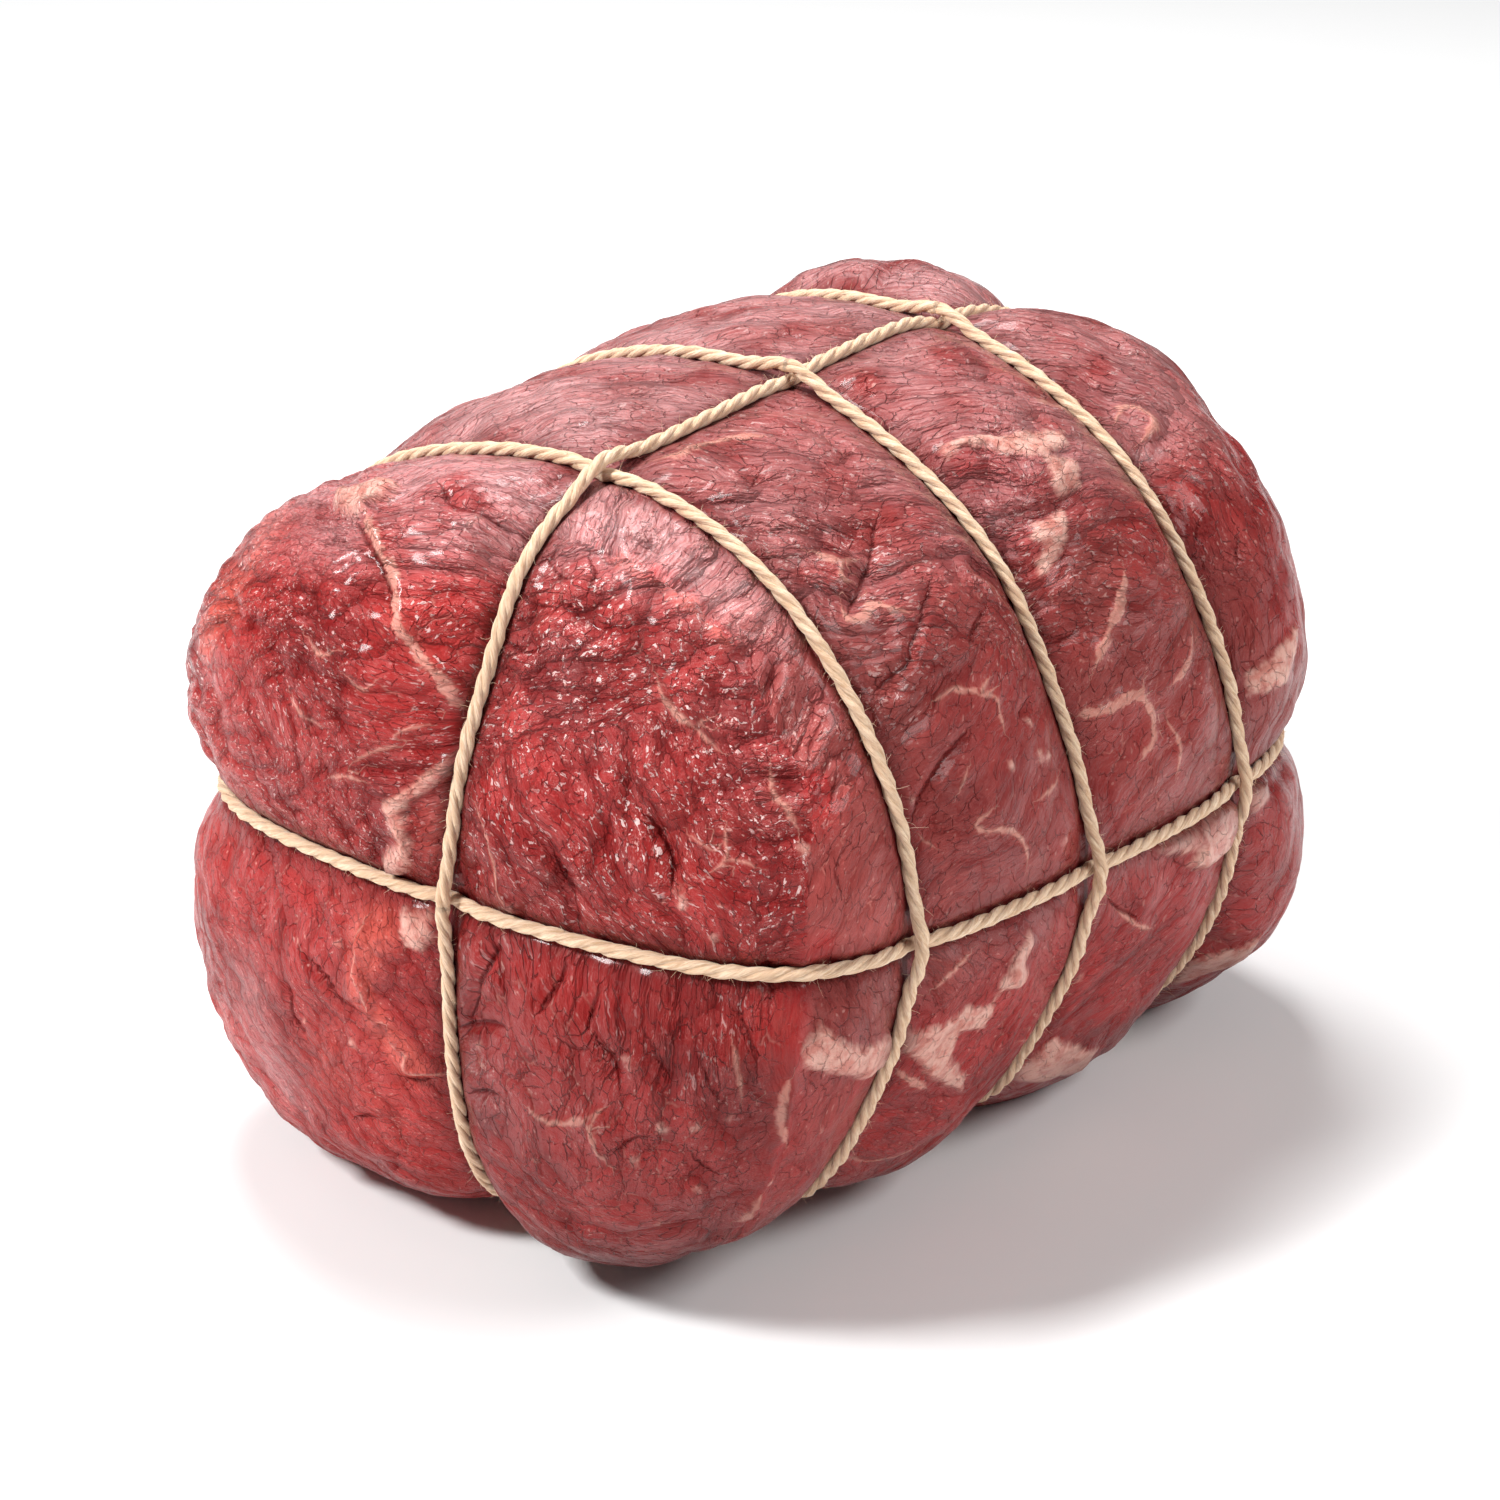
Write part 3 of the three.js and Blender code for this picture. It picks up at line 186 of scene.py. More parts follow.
# half width, depth, points along it
SPLITS = [
    (0.21, 1.0, [(-62.3, 10.4, 62.1), (-64, 7.1, 61.3), (-63.8, 3.9, 60.9), (-63, 0.5, 60.3), (-62.1, -3.8, 58.8)]),
    (0.24, 1.3, [(-72.2, 18.3, 57.1), (-74.7, 12.8, 55), (-76.3, 8.9, 52.2), (-77.6, 7.1, 49.4)]),
    (0.3, 1.5, [(-72.6, -39.5, 27.4), (-72.5, -41.3, 26.2), (-72.6, -42.3, 25), (-73.1, -44.6, 21.3), (-73.7, -45, 18.4)]),
    (0.24, 1.2, [(-78.6, -26.9, 19.3), (-78.6, -28.8, 16.1), (-78.3, -30.2, 12.5), (-77.7, -30.4, 8.6)]),
    (0.21, 0.9, [(-74.5, -34.2, 26.9), (-75.8, -34, 22.9)]),
    (0.27, 1.2, [(-52.6, -46.8, 47.2), (-55.2, -47.8, 45), (-57.2, -48.3, 43.2)]),
    (0.15, 0.7, [(-51.5, -54.4, 38.9), (-54.6, -55.3, 36.8), (-56.3, -56, 34.9)]),
    (0.15, 0.6, [(-52.6, -58.4, 33.3), (-55.1, -59.7, 30.7)]),
    (0.12, 0.5, [(-56.3, -63.4, 23.7), (-58.6, -63.6, 21.6), (-58.9, -64.4, 18.8)]),
    (0.27, 1.4, [(-85.9, 20.6, -11.8), (-86, 18.3, -13.1), (-86, 16.1, -14.4), (-86, 13.9, -17.4), (-85.8, 10.9, -17.9), (-85.4, 7.9, -17.9)]),
    (0.24, 1.1, [(-86.1, 25.1, -18.3), (-86.1, 25, -21.4), (-86, 25, -24.5), (-85.9, 21.8, -27.3)]),
    (0.3, 1.0, [(-83.9, 13.2, -39.1), (-83.9, 11.1, -38.2), (-83.6, 8.5, -38.1)]),
    (0.36, 1.4, [(-83.8, 2.7, -28.1), (-83.1, 0.6, -28), (-82.1, -1.9, -27)]),
    (0.33, 1.8, [(-81.3, -17.1, 1.9), (-82.7, -15.5, -1.9), (-83, -13, -7), (-83, -12.1, -11.7)]),
    (0.3, 1.6, [(-79.4, -29.3, 2.6), (-81.3, -28.7, -0.6), (-83.2, -27.2, -4.8)]),
    (0.21, 1.1, [(-79.4, -35.8, 0.6), (-81.2, -35.4, -2.6), (-82.3, -35.2, -5.5)]),
    (0.3, 1.3, [(-81.9, -9.6, -14.7), (-83.8, -14.7, -11.7), (-84.5, -20.4, -9.9)]),
    (0.3, 1.4, [(-82.3, -11.2, -25.7), (-84.3, -16.9, -22.7), (-84.9, -20, -22.2)]),
    (0.21, 1.0, [(-19.8, -39.7, 57.6), (-22.9, -41.6, 56.8), (-25.4, -43.4, 55.8), (-32, -46.6, 53.1), (-37.2, -48.1, 50.6)]),
    (0.18, 0.8, [(-20.5, -50.3, 50.5), (-25.5, -52.6, 48.3), (-32, -55, 44.5)]),
    (0.21, 0.9, [(-13.7, -54.8, 44.3), (-16.6, -55.9, 43.4), (-19.4, -57.3, 41.8)]),
    (0.15, 0.7, [(-28.3, -54.1, 46.4), (-25.9, -54.6, 45.9), (-23.9, -55.2, 45.1)]),
    (0.18, 0.9, [(-31.6, -54.9, 44.8), (-33.4, -55.9, 42.9), (-37.3, -55.6, 41.9), (-40, -55.6, 40.6)]),
    (0.18, 1.0, [(-27.2, -62.8, 31.5), (-30.5, -63.2, 30.2), (-33, -63.3, 29.5), (-37.4, -63.7, 26.7), (-41, -63.7, 23.6)]),
    (0.15, 0.6, [(2.3, -57.3, 34.7), (4.4, -58.1, 34.8), (6.7, -58.4, 35.3)]),
    (0.15, 0.7, [(-10.3, -61.7, 30.3), (-14, -63, 29.3)]),
    (0.15, 0.5, [(-28.6, -23.7, 63.6), (-31.6, -25, 63.2), (-33.8, -26, 62.8)]),
    (0.18, 0.8, [(-82, -36.5, -5.5), (-82.2, -38.4, -7.6), (-81.9, -40.7, -8.7), (-82.1, -41.8, -11.6)]),
    (0.18, 0.8, [(-83.5, -31.8, -8.1), (-83.3, -34.5, -8.9), (-82.7, -36.7, -8)]),
    (0.18, 0.8, [(-79.2, -45.4, -4.5), (-79.4, -47, -7.3), (-79, -48.8, -9.2)]),
    (0.18, 0.7, [(-76.2, -52.8, -6.6), (-76, -53.8, -9.6), (-75.3, -54.9, -12.1)]),
    (0.18, 0.8, [(-82.5, -41.8, -23.5), (-81.8, -44, -21.1), (-80.7, -46.5, -20)]),
    (0.15, 0.7, [(-77.3, -51.4, -22), (-76, -52.1, -24.9), (-74, -53.5, -26.3)]),
    (0.18, 0.9, [(-66.9, -57.6, 8.1), (-66.8, -58, 3.5), (-68.2, -58.7, 0.5)]),
    (0.21, 1.1, [(-71.4, -56.1, -0.5), (-71, -58.2, -4.4), (-71, -58.9, -8.2)]),
    (0.18, 0.8, [(4, -68.6, -7.4), (7.4, -68.6, -10.8), (11.8, -68.3, -13.8)]),
    (0.18, 0.9, [(45.9, -54.2, 40.4), (43.4, -55.4, 36.9)]),
    (0.18, 0.9, [(52, -58.1, 36.3), (49.7, -59.7, 33)]),
    (0.18, 0.8, [(-65.7, -8.7, 51.9), (-66.8, -12.2, 51.4), (-67, -15.6, 51.9)]),
    (0.18, 0.8, [(-62.9, -12, 56.6), (-64.3, -15.6, 55.8), (-64.2, -18.6, 56)]),
    (0.18, 0.8, [(-61.8, -19.5, 58.3), (-63.1, -21.6, 56.9), (-64.9, -21.9, 54.7)]),
    (0.18, 0.8, [(-69.2, -9, 45.3), (-70.1, -13.2, 45), (-69.6, -16.3, 46.6)]),
]
# height, outline
FAT_PATCHES = [
    (0.9, [(-84.1, 3.6, 19.9), (-82.9, 1, 22.4), (-80.7, -2.3, 25.6), (-76.9, -6.2, 29.5), (-77, -7.1, 27.5), (-80.2, -3.5, 23.8), (-82.3, -0.6, 21), (-82.8, 0.2, 18.9), (-82.4, -1.1, 15), (-81.9, -0.2, 9.5), (-81.9, 2.3, 8.3), (-83.4, 1.9, 14.7)]),
    (2.2, [(-67.5, 28.9, 57.2), (-64.8, 28.5, 58.1), (-65.9, 23.4, 59.2), (-63.9, 21.6, 60.2), (-63, 18.5, 61), (-66.4, 16.8, 60.2), (-68.4, 18.4, 59.1), (-70.1, 18.5, 58.3), (-71.2, 20.6, 57.4), (-70.6, 24.7, 57)]),
    (1.2, [(-82.1, 1.9, 2.3), (-80.7, -3.6, 3.2), (-81.5, -4, -1.5), (-82.6, -1.9, -4), (-83.4, 0.6, -3.6), (-83.2, 1.5, -1.1)]),
    (1.2, [(-83.3, 4.5, 11.7), (-83.1, 1.5, 13.4), (-82.4, 0.2, 11.2), (-81.8, 1.9, 8.3), (-81.6, 4.9, 7), (-82.4, 5.7, 8.7)]),
    (0.8, [(-65.4, -62.4, -5.6), (-63.4, -63.3, -4), (-62.1, -63.5, -2.1), (-59, -65, -6.3), (-54, -65.4, -9), (-46.6, -64, -10.6), (-43.8, -61.5, -16.9), (-49.6, -62.4, -18.3), (-56.5, -64.2, -14), (-61.2, -64, -11), (-64.4, -63, -9.7), (-65.8, -62.4, -7.9)]),
    (0.7, [(-42.8, -63.5, -11.5), (-36.5, -65.7, -12.7), (-31.4, -67.2, -11.9), (-25.3, -67.4, -14), (-25.8, -68.3, -10), (-23, -68.9, -6.3), (-18.6, -68.9, -3.6), (-17.1, -69, -5.7), (-19.2, -68.9, -8.4), (-20.7, -68.2, -12.4), (-24.1, -68.1, -11.7), (-24.8, -67.1, -15), (-25, -65.6, -19.1), (-30.5, -65.4, -17.3), (-30.3, -63.3, -22.2), (-23.6, -61, -29.5), (-21.5, -59.1, -34.5), (-29.7, -60.6, -28.2), (-34.3, -61.5, -24.4), (-38.3, -62.6, -19.4), (-41.8, -62.2, -16.7)]),
    (1.0, [(-24.4, -68.7, -8), (-22.2, -68.9, -7.7), (-18.8, -68.8, -9.4), (-17.5, -68.5, -11.8), (-19.6, -68.2, -12.8), (-23, -68.2, -11.7)]),
    (0.5, [(-0.4, -52, -44.1), (2.4, -55.7, -39.9), (4.9, -58.1, -36.7), (22.2, -55, -47.6), (26.1, -49.3, -55.6), (9.9, -51.9, -49.6)]),
    (0.6, [(47.5, -54.9, -41.7), (53.1, -60.1, -39.6), (59.2, -62.5, -38.2), (62.2, -58.7, -45.3), (55, -56.1, -46.7), (50.3, -51, -49.4)]),
    (0.8, [(4.2, -32.1, 59.5), (8.8, -33.6, 60.5), (14.3, -36.8, 60.1), (20.4, -38.8, 59.4), (27.2, -39.8, 57.7), (24.5, -42.5, 56.7), (18.3, -43.3, 56.8), (14.5, -41.7, 57.5), (11.7, -40, 58), (10.4, -37.4, 59), (6.9, -34.9, 59.2), (4.1, -34.5, 58.3), (2.9, -33.4, 58.2)]),
    (0.5, [(17.4, -43, 57), (23.8, -45.1, 55.1), (20.2, -48.6, 52.7), (15.2, -48.7, 52.3), (14, -46.5, 54)]),
    (0.7, [(7.2, -48.3, 50.3), (10.6, -49.2, 50.7), (14.1, -49.6, 51.2), (12.3, -51.7, 48.5), (9.8, -52.7, 46.5), (6.5, -53.2, 44.3), (4, -52.8, 43.4), (4.6, -50.9, 46.2), (6.7, -51, 47.2), (5.8, -49.4, 48.5)]),
    (1.5, [(15.3, -68.1, -1.9), (20.5, -67.9, -1.9), (27.5, -67.7, -3.3), (28.6, -68.5, -7), (22, -68.8, -7), (16.8, -68.5, -4.3)]),
    (1.6, [(27.5, -67.6, -2.9), (35.3, -66.6, -2.9), (41.7, -65.4, -5.2), (43.4, -65.4, -10.2), (39.4, -66.7, -12.7), (28.8, -68.7, -11.8), (24.2, -68.9, -9.1), (27.4, -68.6, -7.4)]),
    (1.2, [(46.7, -65.2, -4.9), (54, -64.6, -6.1), (53.3, -66.1, -8.9), (49.6, -66.6, -9.9), (45.8, -65.9, -9.9)]),
    (0.6, [(46, -65, 16.1), (54.4, -65.7, 18.1), (62.6, -63.8, 19.9), (61.4, -65, 16.5), (54.9, -66.8, 11.9), (49.5, -66.6, 11.9), (46, -65.7, 12.8)]),
]
# radius, place
FLECKS = [
    (0.9, (-62.1, -60.1, 24.7)), (1, (-73.4, -46.3, 17.9)), (0.9, (-73.5, -46.9, 16)), (1, (-79.8, -19.4, 8.8)), (0.9, (-64.6, 1.1, 59.6)), (1, (-83.9, -14.7, -15.6)), (0.8, (-84.1, -15.6, -17.8)), (0.7, (-81.2, -42.9, -8.3)), (0.7, (-80.9, -44.2, -9)), (0.8, (-79.7, -48.6, -17.7)), (0.8, (-77.2, -52.4, -17.5)), (0.8, (-81.3, -44.2, -24.9)), (0.7, (-84.6, -26.9, -30.6)), (0.8, (-75.3, -51.1, -29.3)), (0.9, (-76.9, -44.8, -37.5)), (0.6, (-70.1, -43.6, -46.5)), (0.7, (-73.9, -56.2, -16)), (0.7, (-65.6, -56.7, -30)), (0.8, (-85.3, 13.5, -7.5)), (0.8, (-85.6, 11.3, -24.1)), (0.6, (-86.1, 21.4, -23.7)), (1, (-11.8, -65.2, 22.9)), (0.8, (-9.8, -65.1, 21.9)), (0.8, (-20.3, -65.6, 24.4)), (0.8, (2.8, -64.2, -22.6)), (0.5, (-58.1, -60.7, -24)), (0.7, (-9.9, -68.6, 8.7)), (0.6, (-21.8, -67, 20.6)), (0.6, (-40.6, -63.2, 25.5)), (0.6, (-12.1, -63.2, 28)), (0.6, (-71.2, -52.3, 16.9)), (0.6, (-71.7, -51.7, 12)),
]
# what changes, by how much, over what radius, between which two places
ZONES = [
    ("tone", 1.3, 5.0, [(-76.8, 40.3, 46.8), (-81.2, 40.1, 41.6)]),
    ("tone", 0.9, 4, [(-83, 43.1, 34.6), (-83, 43.1, 34.6)]),
    ("tone", 0.6, 6, [(-71.8, 40.4, 50.2), (-71.8, 40.4, 50.2)]),
    ("tone", 1.1, 1.3, [(-57.2, -11.6, 60.6), (-59.8, -24.5, 59)]),
    ("tone", 1.15, 1.5, [(-59.8, -24.5, 59), (-57.8, -35.4, 54.9)]),
    ("tone", 1.1, 1.3, [(-57.8, -35.4, 54.9), (-57.5, -41.7, 49.9)]),
    ("lift", 0.7, 1.6, [(-57.2, -11.6, 60.6), (-59.8, -24.5, 59)]),
    ("lift", 0.8, 1.7, [(-59.8, -24.5, 59), (-57.8, -35.4, 54.9)]),
    ("lift", 0.7, 1.6, [(-57.8, -35.4, 54.9), (-57.5, -41.7, 49.9)]),
    ("tone", 1.2, 1.7, [(-56.1, -57.9, 32.7), (-60.9, -62.9, 9.1)]),
    ("tone", 1.2, 3.0, [(-84.7, 7.9, -4.9), (-85.5, 8.3, -13.5)]),
    ("tone", 1.2, 3.0, [(-84.9, 5.3, -17.9), (-83.4, 0.6, -24.5)]),
    ("tone", 0.8, 4.0, [(-83.8, 4.5, -1.9), (-83.8, 4.5, -1.9)]),
    ("tone", 0.8, 6.0, [(5.1, -38.8, 56.4), (4.5, -44.4, 52.3)]),
    ("tone", 0.5, 8, [(70.2, -44.1, 45.1), (60.8, -63.1, 23.5)]),
    ("tone", -1.0, 6.0, [(-48.4, -46, 48.9), (-45.8, -55.3, 38)]),
    ("tone", -1.2, 6.0, [(-54.2, -65.8, -2.2), (-54.2, -65.8, -2.2)]),
    ("tone", -0.5, 7, [(-38.1, -66.9, -0.9), (-38.1, -66.9, -0.9)]),
    ("tone", -0.7, 5.0, [(-38.5, -52.3, 45.7), (-38.8, -57, 39.1)]),
    ("tone", -0.5, 4.0, [(13.7, -55.1, 44.1), (13.7, -55.1, 44.1)]),
    ("tone", 0.5, 5, [(-79.4, -5.2, 21.6), (-80.4, -4.8, 15.4)]),
    ("film_and_sheen", 0.55, 7.0, [(-58, 20, 61.5), (-51.7, 8.8, 63.5)]),
    ("film_and_sheen", 0.6, 9.0, [(-30.3, 24.5, 63.7), (-37, 10, 65.7)]),
    ("film_and_sheen", 0.35, 8.0, [(2.6, 33, 61), (2.8, 17.5, 65.4)]),
    ("film_and_sheen", 0.35, 7, [(-85.3, 35.1, -23.4), (-83.2, 30.5, -41.1)]),
    ("film_and_sheen", 0.5, 4, [(-62.6, 26, 59.4), (-54.9, 18.5, 61.9)]),
    ("film_and_sheen", 0.25, 8, [(26.3, -2.5, 66.3), (52, 4.7, 64.9)]),
    ("film_and_sheen", 0.2, 8, [(-51.5, -12, 62.8), (-50.9, -19.1, 62.8)]),
    ("crinkle", 0.5, 9, [(-50.4, -15.2, 63.2), (-43.5, -35.9, 57.1)]),
    ("crinkle", 0.4, 10, [(-64.7, -24, 54.6), (-68, -34.4, 43.2)]),
    ("crinkle", -0.22, 8, [(-51, -61.4, 28.7), (-55.8, -65.7, 11.1)]),
    ("crinkle", -0.12, 12, [(-26.5, -64.6, 27.4), (-21.5, -68.9, 10.1)]),
    ("crinkle", -0.1, 12, [(4.3, -67.2, 13.3), (4.3, -67.2, 13.3)]),
    ("crinkle", -0.15, 8, [(-49.1, -60.6, -22.7), (-49.1, -60.6, -22.7)]),
    ("crinkle", -0.2, 6, [(-58.7, 2.4, 62.8), (-58.7, 2.4, 62.8)]),
    ("crinkle", 0.35, 8, [(7.6, -41.8, 55.6), (1.7, -46.6, 48.7)]),
    ("crinkle", 0.35, 9, [(-33.1, -42.8, 55.5), (-33.1, -42.8, 55.5)]),
    ("grain", 0.5, 8, [(-76.2, -45, 1.7), (-66.7, -59.4, 1.5)]),
    ("grain", 0.5, 7, [(-78.8, -28, 15.7), (-77.1, -34.4, 10.8)]),
    ("grain", 0.4, 8, [(-37.3, -26.8, 62.2), (-35.8, -41.4, 56)]),
    ("grain", 0.4, 8, [(-51.8, -66.2, 9.9), (-34.9, -67.9, 13.5)]),
    ("lift", 1.6, 3.2, [(-64.5, 0.8, 59.5), (-64.5, 0.8, 59.5)]),
    ("lift", 0.9, 3.0, [(-83.8, 4.5, -1.9), (-83.8, 4.5, -1.9)]),
    ("lift", -1.8, 4.0, [(-65.8, -4.1, 55.5), (-65.8, -4.1, 55.5)]),
    ("lift", -1.3, 5, [(-74.3, 9.4, 54.6), (-77.5, 7.5, 49.9)]),
    ("lift", 1.0, 5, [(-62.5, -29.3, 55), (-61.2, -40.1, 48.3)]),
]


def unit(v):
    return v / np.maximum(np.linalg.norm(v, axis=-1, keepdims=True), 1e-12)


def ease(t):
    t = np.clip(t, 0.0, 1.0)
    return t * t * (3 - 2 * t)


def body(u):
    """The plain body's point in each direction u, before the twine bites."""
    s = (np.abs(u[:, 1] / HALF[1]) ** SECTION_POWER + np.abs(u[:, 2] / HALF[2]) ** SECTION_POWER) ** (END_POWER / SECTION_POWER)
    r = (s + np.abs(u[:, 0] / HALF[0]) ** END_POWER) ** (-1 / END_POWER)
    r = r * (1 + np.exp(-2 * (1 - u @ LOBE_DIR.T) / LOBE[:, 3] ** 2) @ LOBE[:, 4])
    limit = (REST_DROP + REST_SPARE) / np.maximum(-u[:, 2], 1e-6)
    h = np.clip(0.5 + 0.5 * (limit - r) / REST_BLEND, 0, 1)
    r = limit * (1 - h) + r * h - REST_BLEND * h * (1 - h)
    return r[:, None] * u


def off_sheet(name, p):
    """Signed distance from a loop's sheet, about square to it."""
    k = LOOPS[name]
    a, b = [(1, 2), (0, 2), (0, 1)][k["fixes"]]
    i, j = p[:, a] / 60, p[:, b] / 60
    at = k["at"] + k["tilt"][0] * i + k["tilt"][1] * j + k["bow"][0] * i * i + k["bow"][1] * j * j + k["bow"][2] * i * j
    return p[:, k["fixes"]] - at


def under_share(p):
    return ease((BASE_REACH - p[:, 2] - REST_DROP) / BASE_REACH)


def bite(name, p):
    k = LOOPS[name]
    a, b = [(1, 2), (0, 2), (0, 1)][k["fixes"]]
    t = np.arctan2(p[:, b], p[:, a])
    h = k["bite"]
    g = h[0] + sum(h[2 * n - 1] * np.cos(n * t) + h[2 * n] * np.sin(n * t) for n in range(1, 5))
    g = 0.5 * (g + LEAST_BITE + np.sqrt((g - LEAST_BITE) ** 2 + 1))
    under = under_share(p)
    return g * (1 - under) + BASE_BITE * under


def surface(u):
    """The tied surface: the body with the furrows sunk into it."""
    p = body(u)
    x, y, z = p[:, 0] / HALF[0], p[:, 1] / HALF[1], p[:, 2] / HALF[2]
    s = (np.abs(y) ** SECTION_POWER + np.abs(z) ** SECTION_POWER + 1e-9) ** (END_POWER / SECTION_POWER - 1)
    facing = unit(np.stack([
        np.sign(x) * np.abs(x) ** (END_POWER - 1) / HALF[0],
        s * np.sign(y) * np.abs(y) ** (SECTION_POWER - 1) / HALF[1],
        s * np.sign(z) * np.abs(z) ** (SECTION_POWER - 1) / HALF[2]], -1))
    total = np.zeros(len(p))
    for name, k in LOOPS.items():
        d = off_sheet(name, p)
        spread = GIRTH_FURROW if k["fixes"] == 0 else LENGTH_FURROW
        total += (bite(name, p) * np.exp(-(np.hypot(d, FURROW_ROUND) - FURROW_ROUND) / spread)) ** 3
    share = under_share(p)[:, None]
    inward = unit(-(1 - share) * facing + share * np.array([0, 0, 1.0]))
    q = p + np.cbrt(total)[:, None] * inward
    q[:, 2] = np.maximum(q[:, 2], -REST_DROP)
    return p, q


# ---------------------------------------------------------------- noise
def _hash(i, j, k, seed):
    with np.errstate(over="ignore"):
        h = i.astype(np.uint32) * np.uint32(0x8DA6B343) ^ j.astype(np.uint32) * np.uint32(0xD8163841) ^ k.astype(np.uint32) * np.uint32(0xCB1AB31F)
        h ^= np.uint32((seed * 0x9E3779B1) & 0xFFFFFFFF)
        h ^= h >> np.uint32(16)
        h *= np.uint32(0x7FEB352D)
        h ^= h >> np.uint32(15)
        h *= np.uint32(0x846CA68B)
        h ^= h >> np.uint32(16)
    return h


def _three(h):
    return np.stack([(h & 1023), (h >> np.uint32(10)) & 1023, (h >> np.uint32(20)) & 1023], -1) / 1023.0


def noise(p, seed=0):
    """Smooth noise, about -1 to 1, one lump per unit."""
    f = np.floor(p)
    c = f.astype(np.int64) & 0xFFFFFFFF
    t = p - f
    w = t * t * t * (t * (t * 6 - 15) + 10)
    out = np.zeros(len(p))
    for i in (0, 1):
        for j in (0, 1):
            for k in (0, 1):
                g = _three(_hash(c[:, 0] + i, c[:, 1] + j, c[:, 2] + k, seed)) * 2 - 1
                d = ((t - (i, j, k)) * g).sum(1)
                wx = w[:, 0] if i else 1 - w[:, 0]
                wy = w[:, 1] if j else 1 - w[:, 1]
                wz = w[:, 2] if k else 1 - w[:, 2]
                out += wx * wy * wz * d
    return out * 1.3


def layered(p, seed=0, layers=3, gain=0.5):
    out, a = np.zeros(len(p)), 1.0
    for n in range(layers):
        out += a * noise(p * 2.03 ** n + 17.1 * n, seed + n)
        a *= gain
    return out


def domes(p, seed=0):
    """A round dome on each of one random point a unit square, seen along the third axis: 1 at the middle."""
    p = p[:, :2]
    f = np.floor(p)
    c = f.astype(np.int64) & 0xFFFFFFFF
    t = p - f
    one = np.full(len(p), 9.0)
    for i in (-1, 0, 1):
        for j in (-1, 0, 1):
            h = _three(_hash((c[:, 0] + i) & 0xFFFFFFFF, (c[:, 1] + j) & 0xFFFFFFFF, c[:, 0] * 0, seed))[:, :2]
            one = np.minimum(one, ((h * 0.9 + 0.05 + (i, j) - t) ** 2).sum(1))
    return 1 - np.minimum(one, 1.0)


# ---------------------------------------------------------------- directions
CAM_AZ, CAM_EL, CAM_DIST, CAM_F = math.radians(-49.6079), math.radians(25.9649), 616.404, 3669.685
CAM_SX, CAM_SY = -2.0627, -1.1329
BACK = np.array([math.sin(CAM_AZ) * math.cos(CAM_EL), -math.cos(CAM_AZ) * math.cos(CAM_EL), math.sin(CAM_EL)])
RIGHT = np.array([math.cos(CAM_AZ), math.sin(CAM_AZ), 0.0])
UP = np.cross(BACK, RIGHT)


def slope(degrees):
    """A direction that looks this steep from the front: 0 is level, 90 upright."""
    a = math.radians(degrees)
    return math.cos(a) * RIGHT + math.sin(a) * UP

# ---------------------------------------------------------------- meat mesh
N = 128


def cube_grid(n):
    """Directions over a cube's six faces, shared along its edges, with quads and chart places."""
    t = np.tan(np.linspace(-1, 1, n + 1) * math.pi / 4)
    quads, keys = [], []
    for axis in range(3):
        for side in (0, n):
            a, b = np.meshgrid(np.arange(n + 1), np.arange(n + 1), indexing="ij")
            g = np.zeros((n + 1, n + 1, 3), np.int64)
            g[..., axis] = side
            g[..., (axis + 1) % 3] = a
            g[..., (axis + 2) % 3] = b
            keys.append(g.reshape(-1, 3))
            i, j = np.meshgrid(np.arange(n), np.arange(n), indexing="ij")
            k = (len(keys) - 1) * (n + 1) ** 2 + i * (n + 1) + j
            q = np.stack([k, k + n + 1, k + n + 2, k + 1], -1).reshape(-1, 4)
            if side == 0:
                q = q[:, ::-1]
            quads.append(q)
    keys = np.concatenate(keys)
    quads = np.concatenate(quads)
    code = (keys[:, 0] * (n + 1) + keys[:, 1]) * (n + 1) + keys[:, 2]
    _, first, shared = np.unique(code, return_index=True, return_inverse=True)
    u = t[keys[first]]
    # where each face's corners go on the flat chart sheet, three across and two down
    face = np.arange(len(keys)) // (n + 1) ** 2
    local = np.arange(len(keys)) % (n + 1) ** 2
    a, b = local // (n + 1) / n, local % (n + 1) / n
    gap = 0.006
    chart = np.stack([(face % 3) / 3 + gap + a * (1 / 3 - 2 * gap), (face // 3) / 2 + gap + b * (1 / 2 - 2 * gap)], -1)
    return unit(u), shared[quads], chart[quads].reshape(-1, 2)


def normals_of(p, quads):
    a, b, c, d = (p[quads[:, k]] for k in range(4))
    face = np.cross(c - a, d - b)
    out = np.zeros_like(p)
    for k in range(4):
        for axis in range(3):
            out[:, axis] += np.bincount(quads[:, k], face[:, axis], len(p))
    return unit(out)


ray, QUADS, CHART = cube_grid(N)
plain, tied = surface(ray)
normal = normals_of(tied, QUADS)
if (normal * ray).sum() < 0:
    QUADS = QUADS[:, ::-1]
    CHART = CHART.reshape(-1, 4, 2)[:, ::-1].reshape(-1, 2)
    normal = -normal
count = len(tied)

away = {name: off_sheet(name, plain) for name in LOOPS}
zone = (away["A"] > 0).astype(int) + (away["B"] > 0) + (away["C"] > 0)      # 0 front ... 3 back
near_side = away["V"] < 0
upper = away["H"] > 0
string_gap = np.min(np.abs(np.stack(list(away.values()))), axis=0)          # mm from the closest furrow's middle
body_normal = normals_of(plain, QUADS)
if (body_normal * ray).sum() < 0:
    body_normal = -body_normal


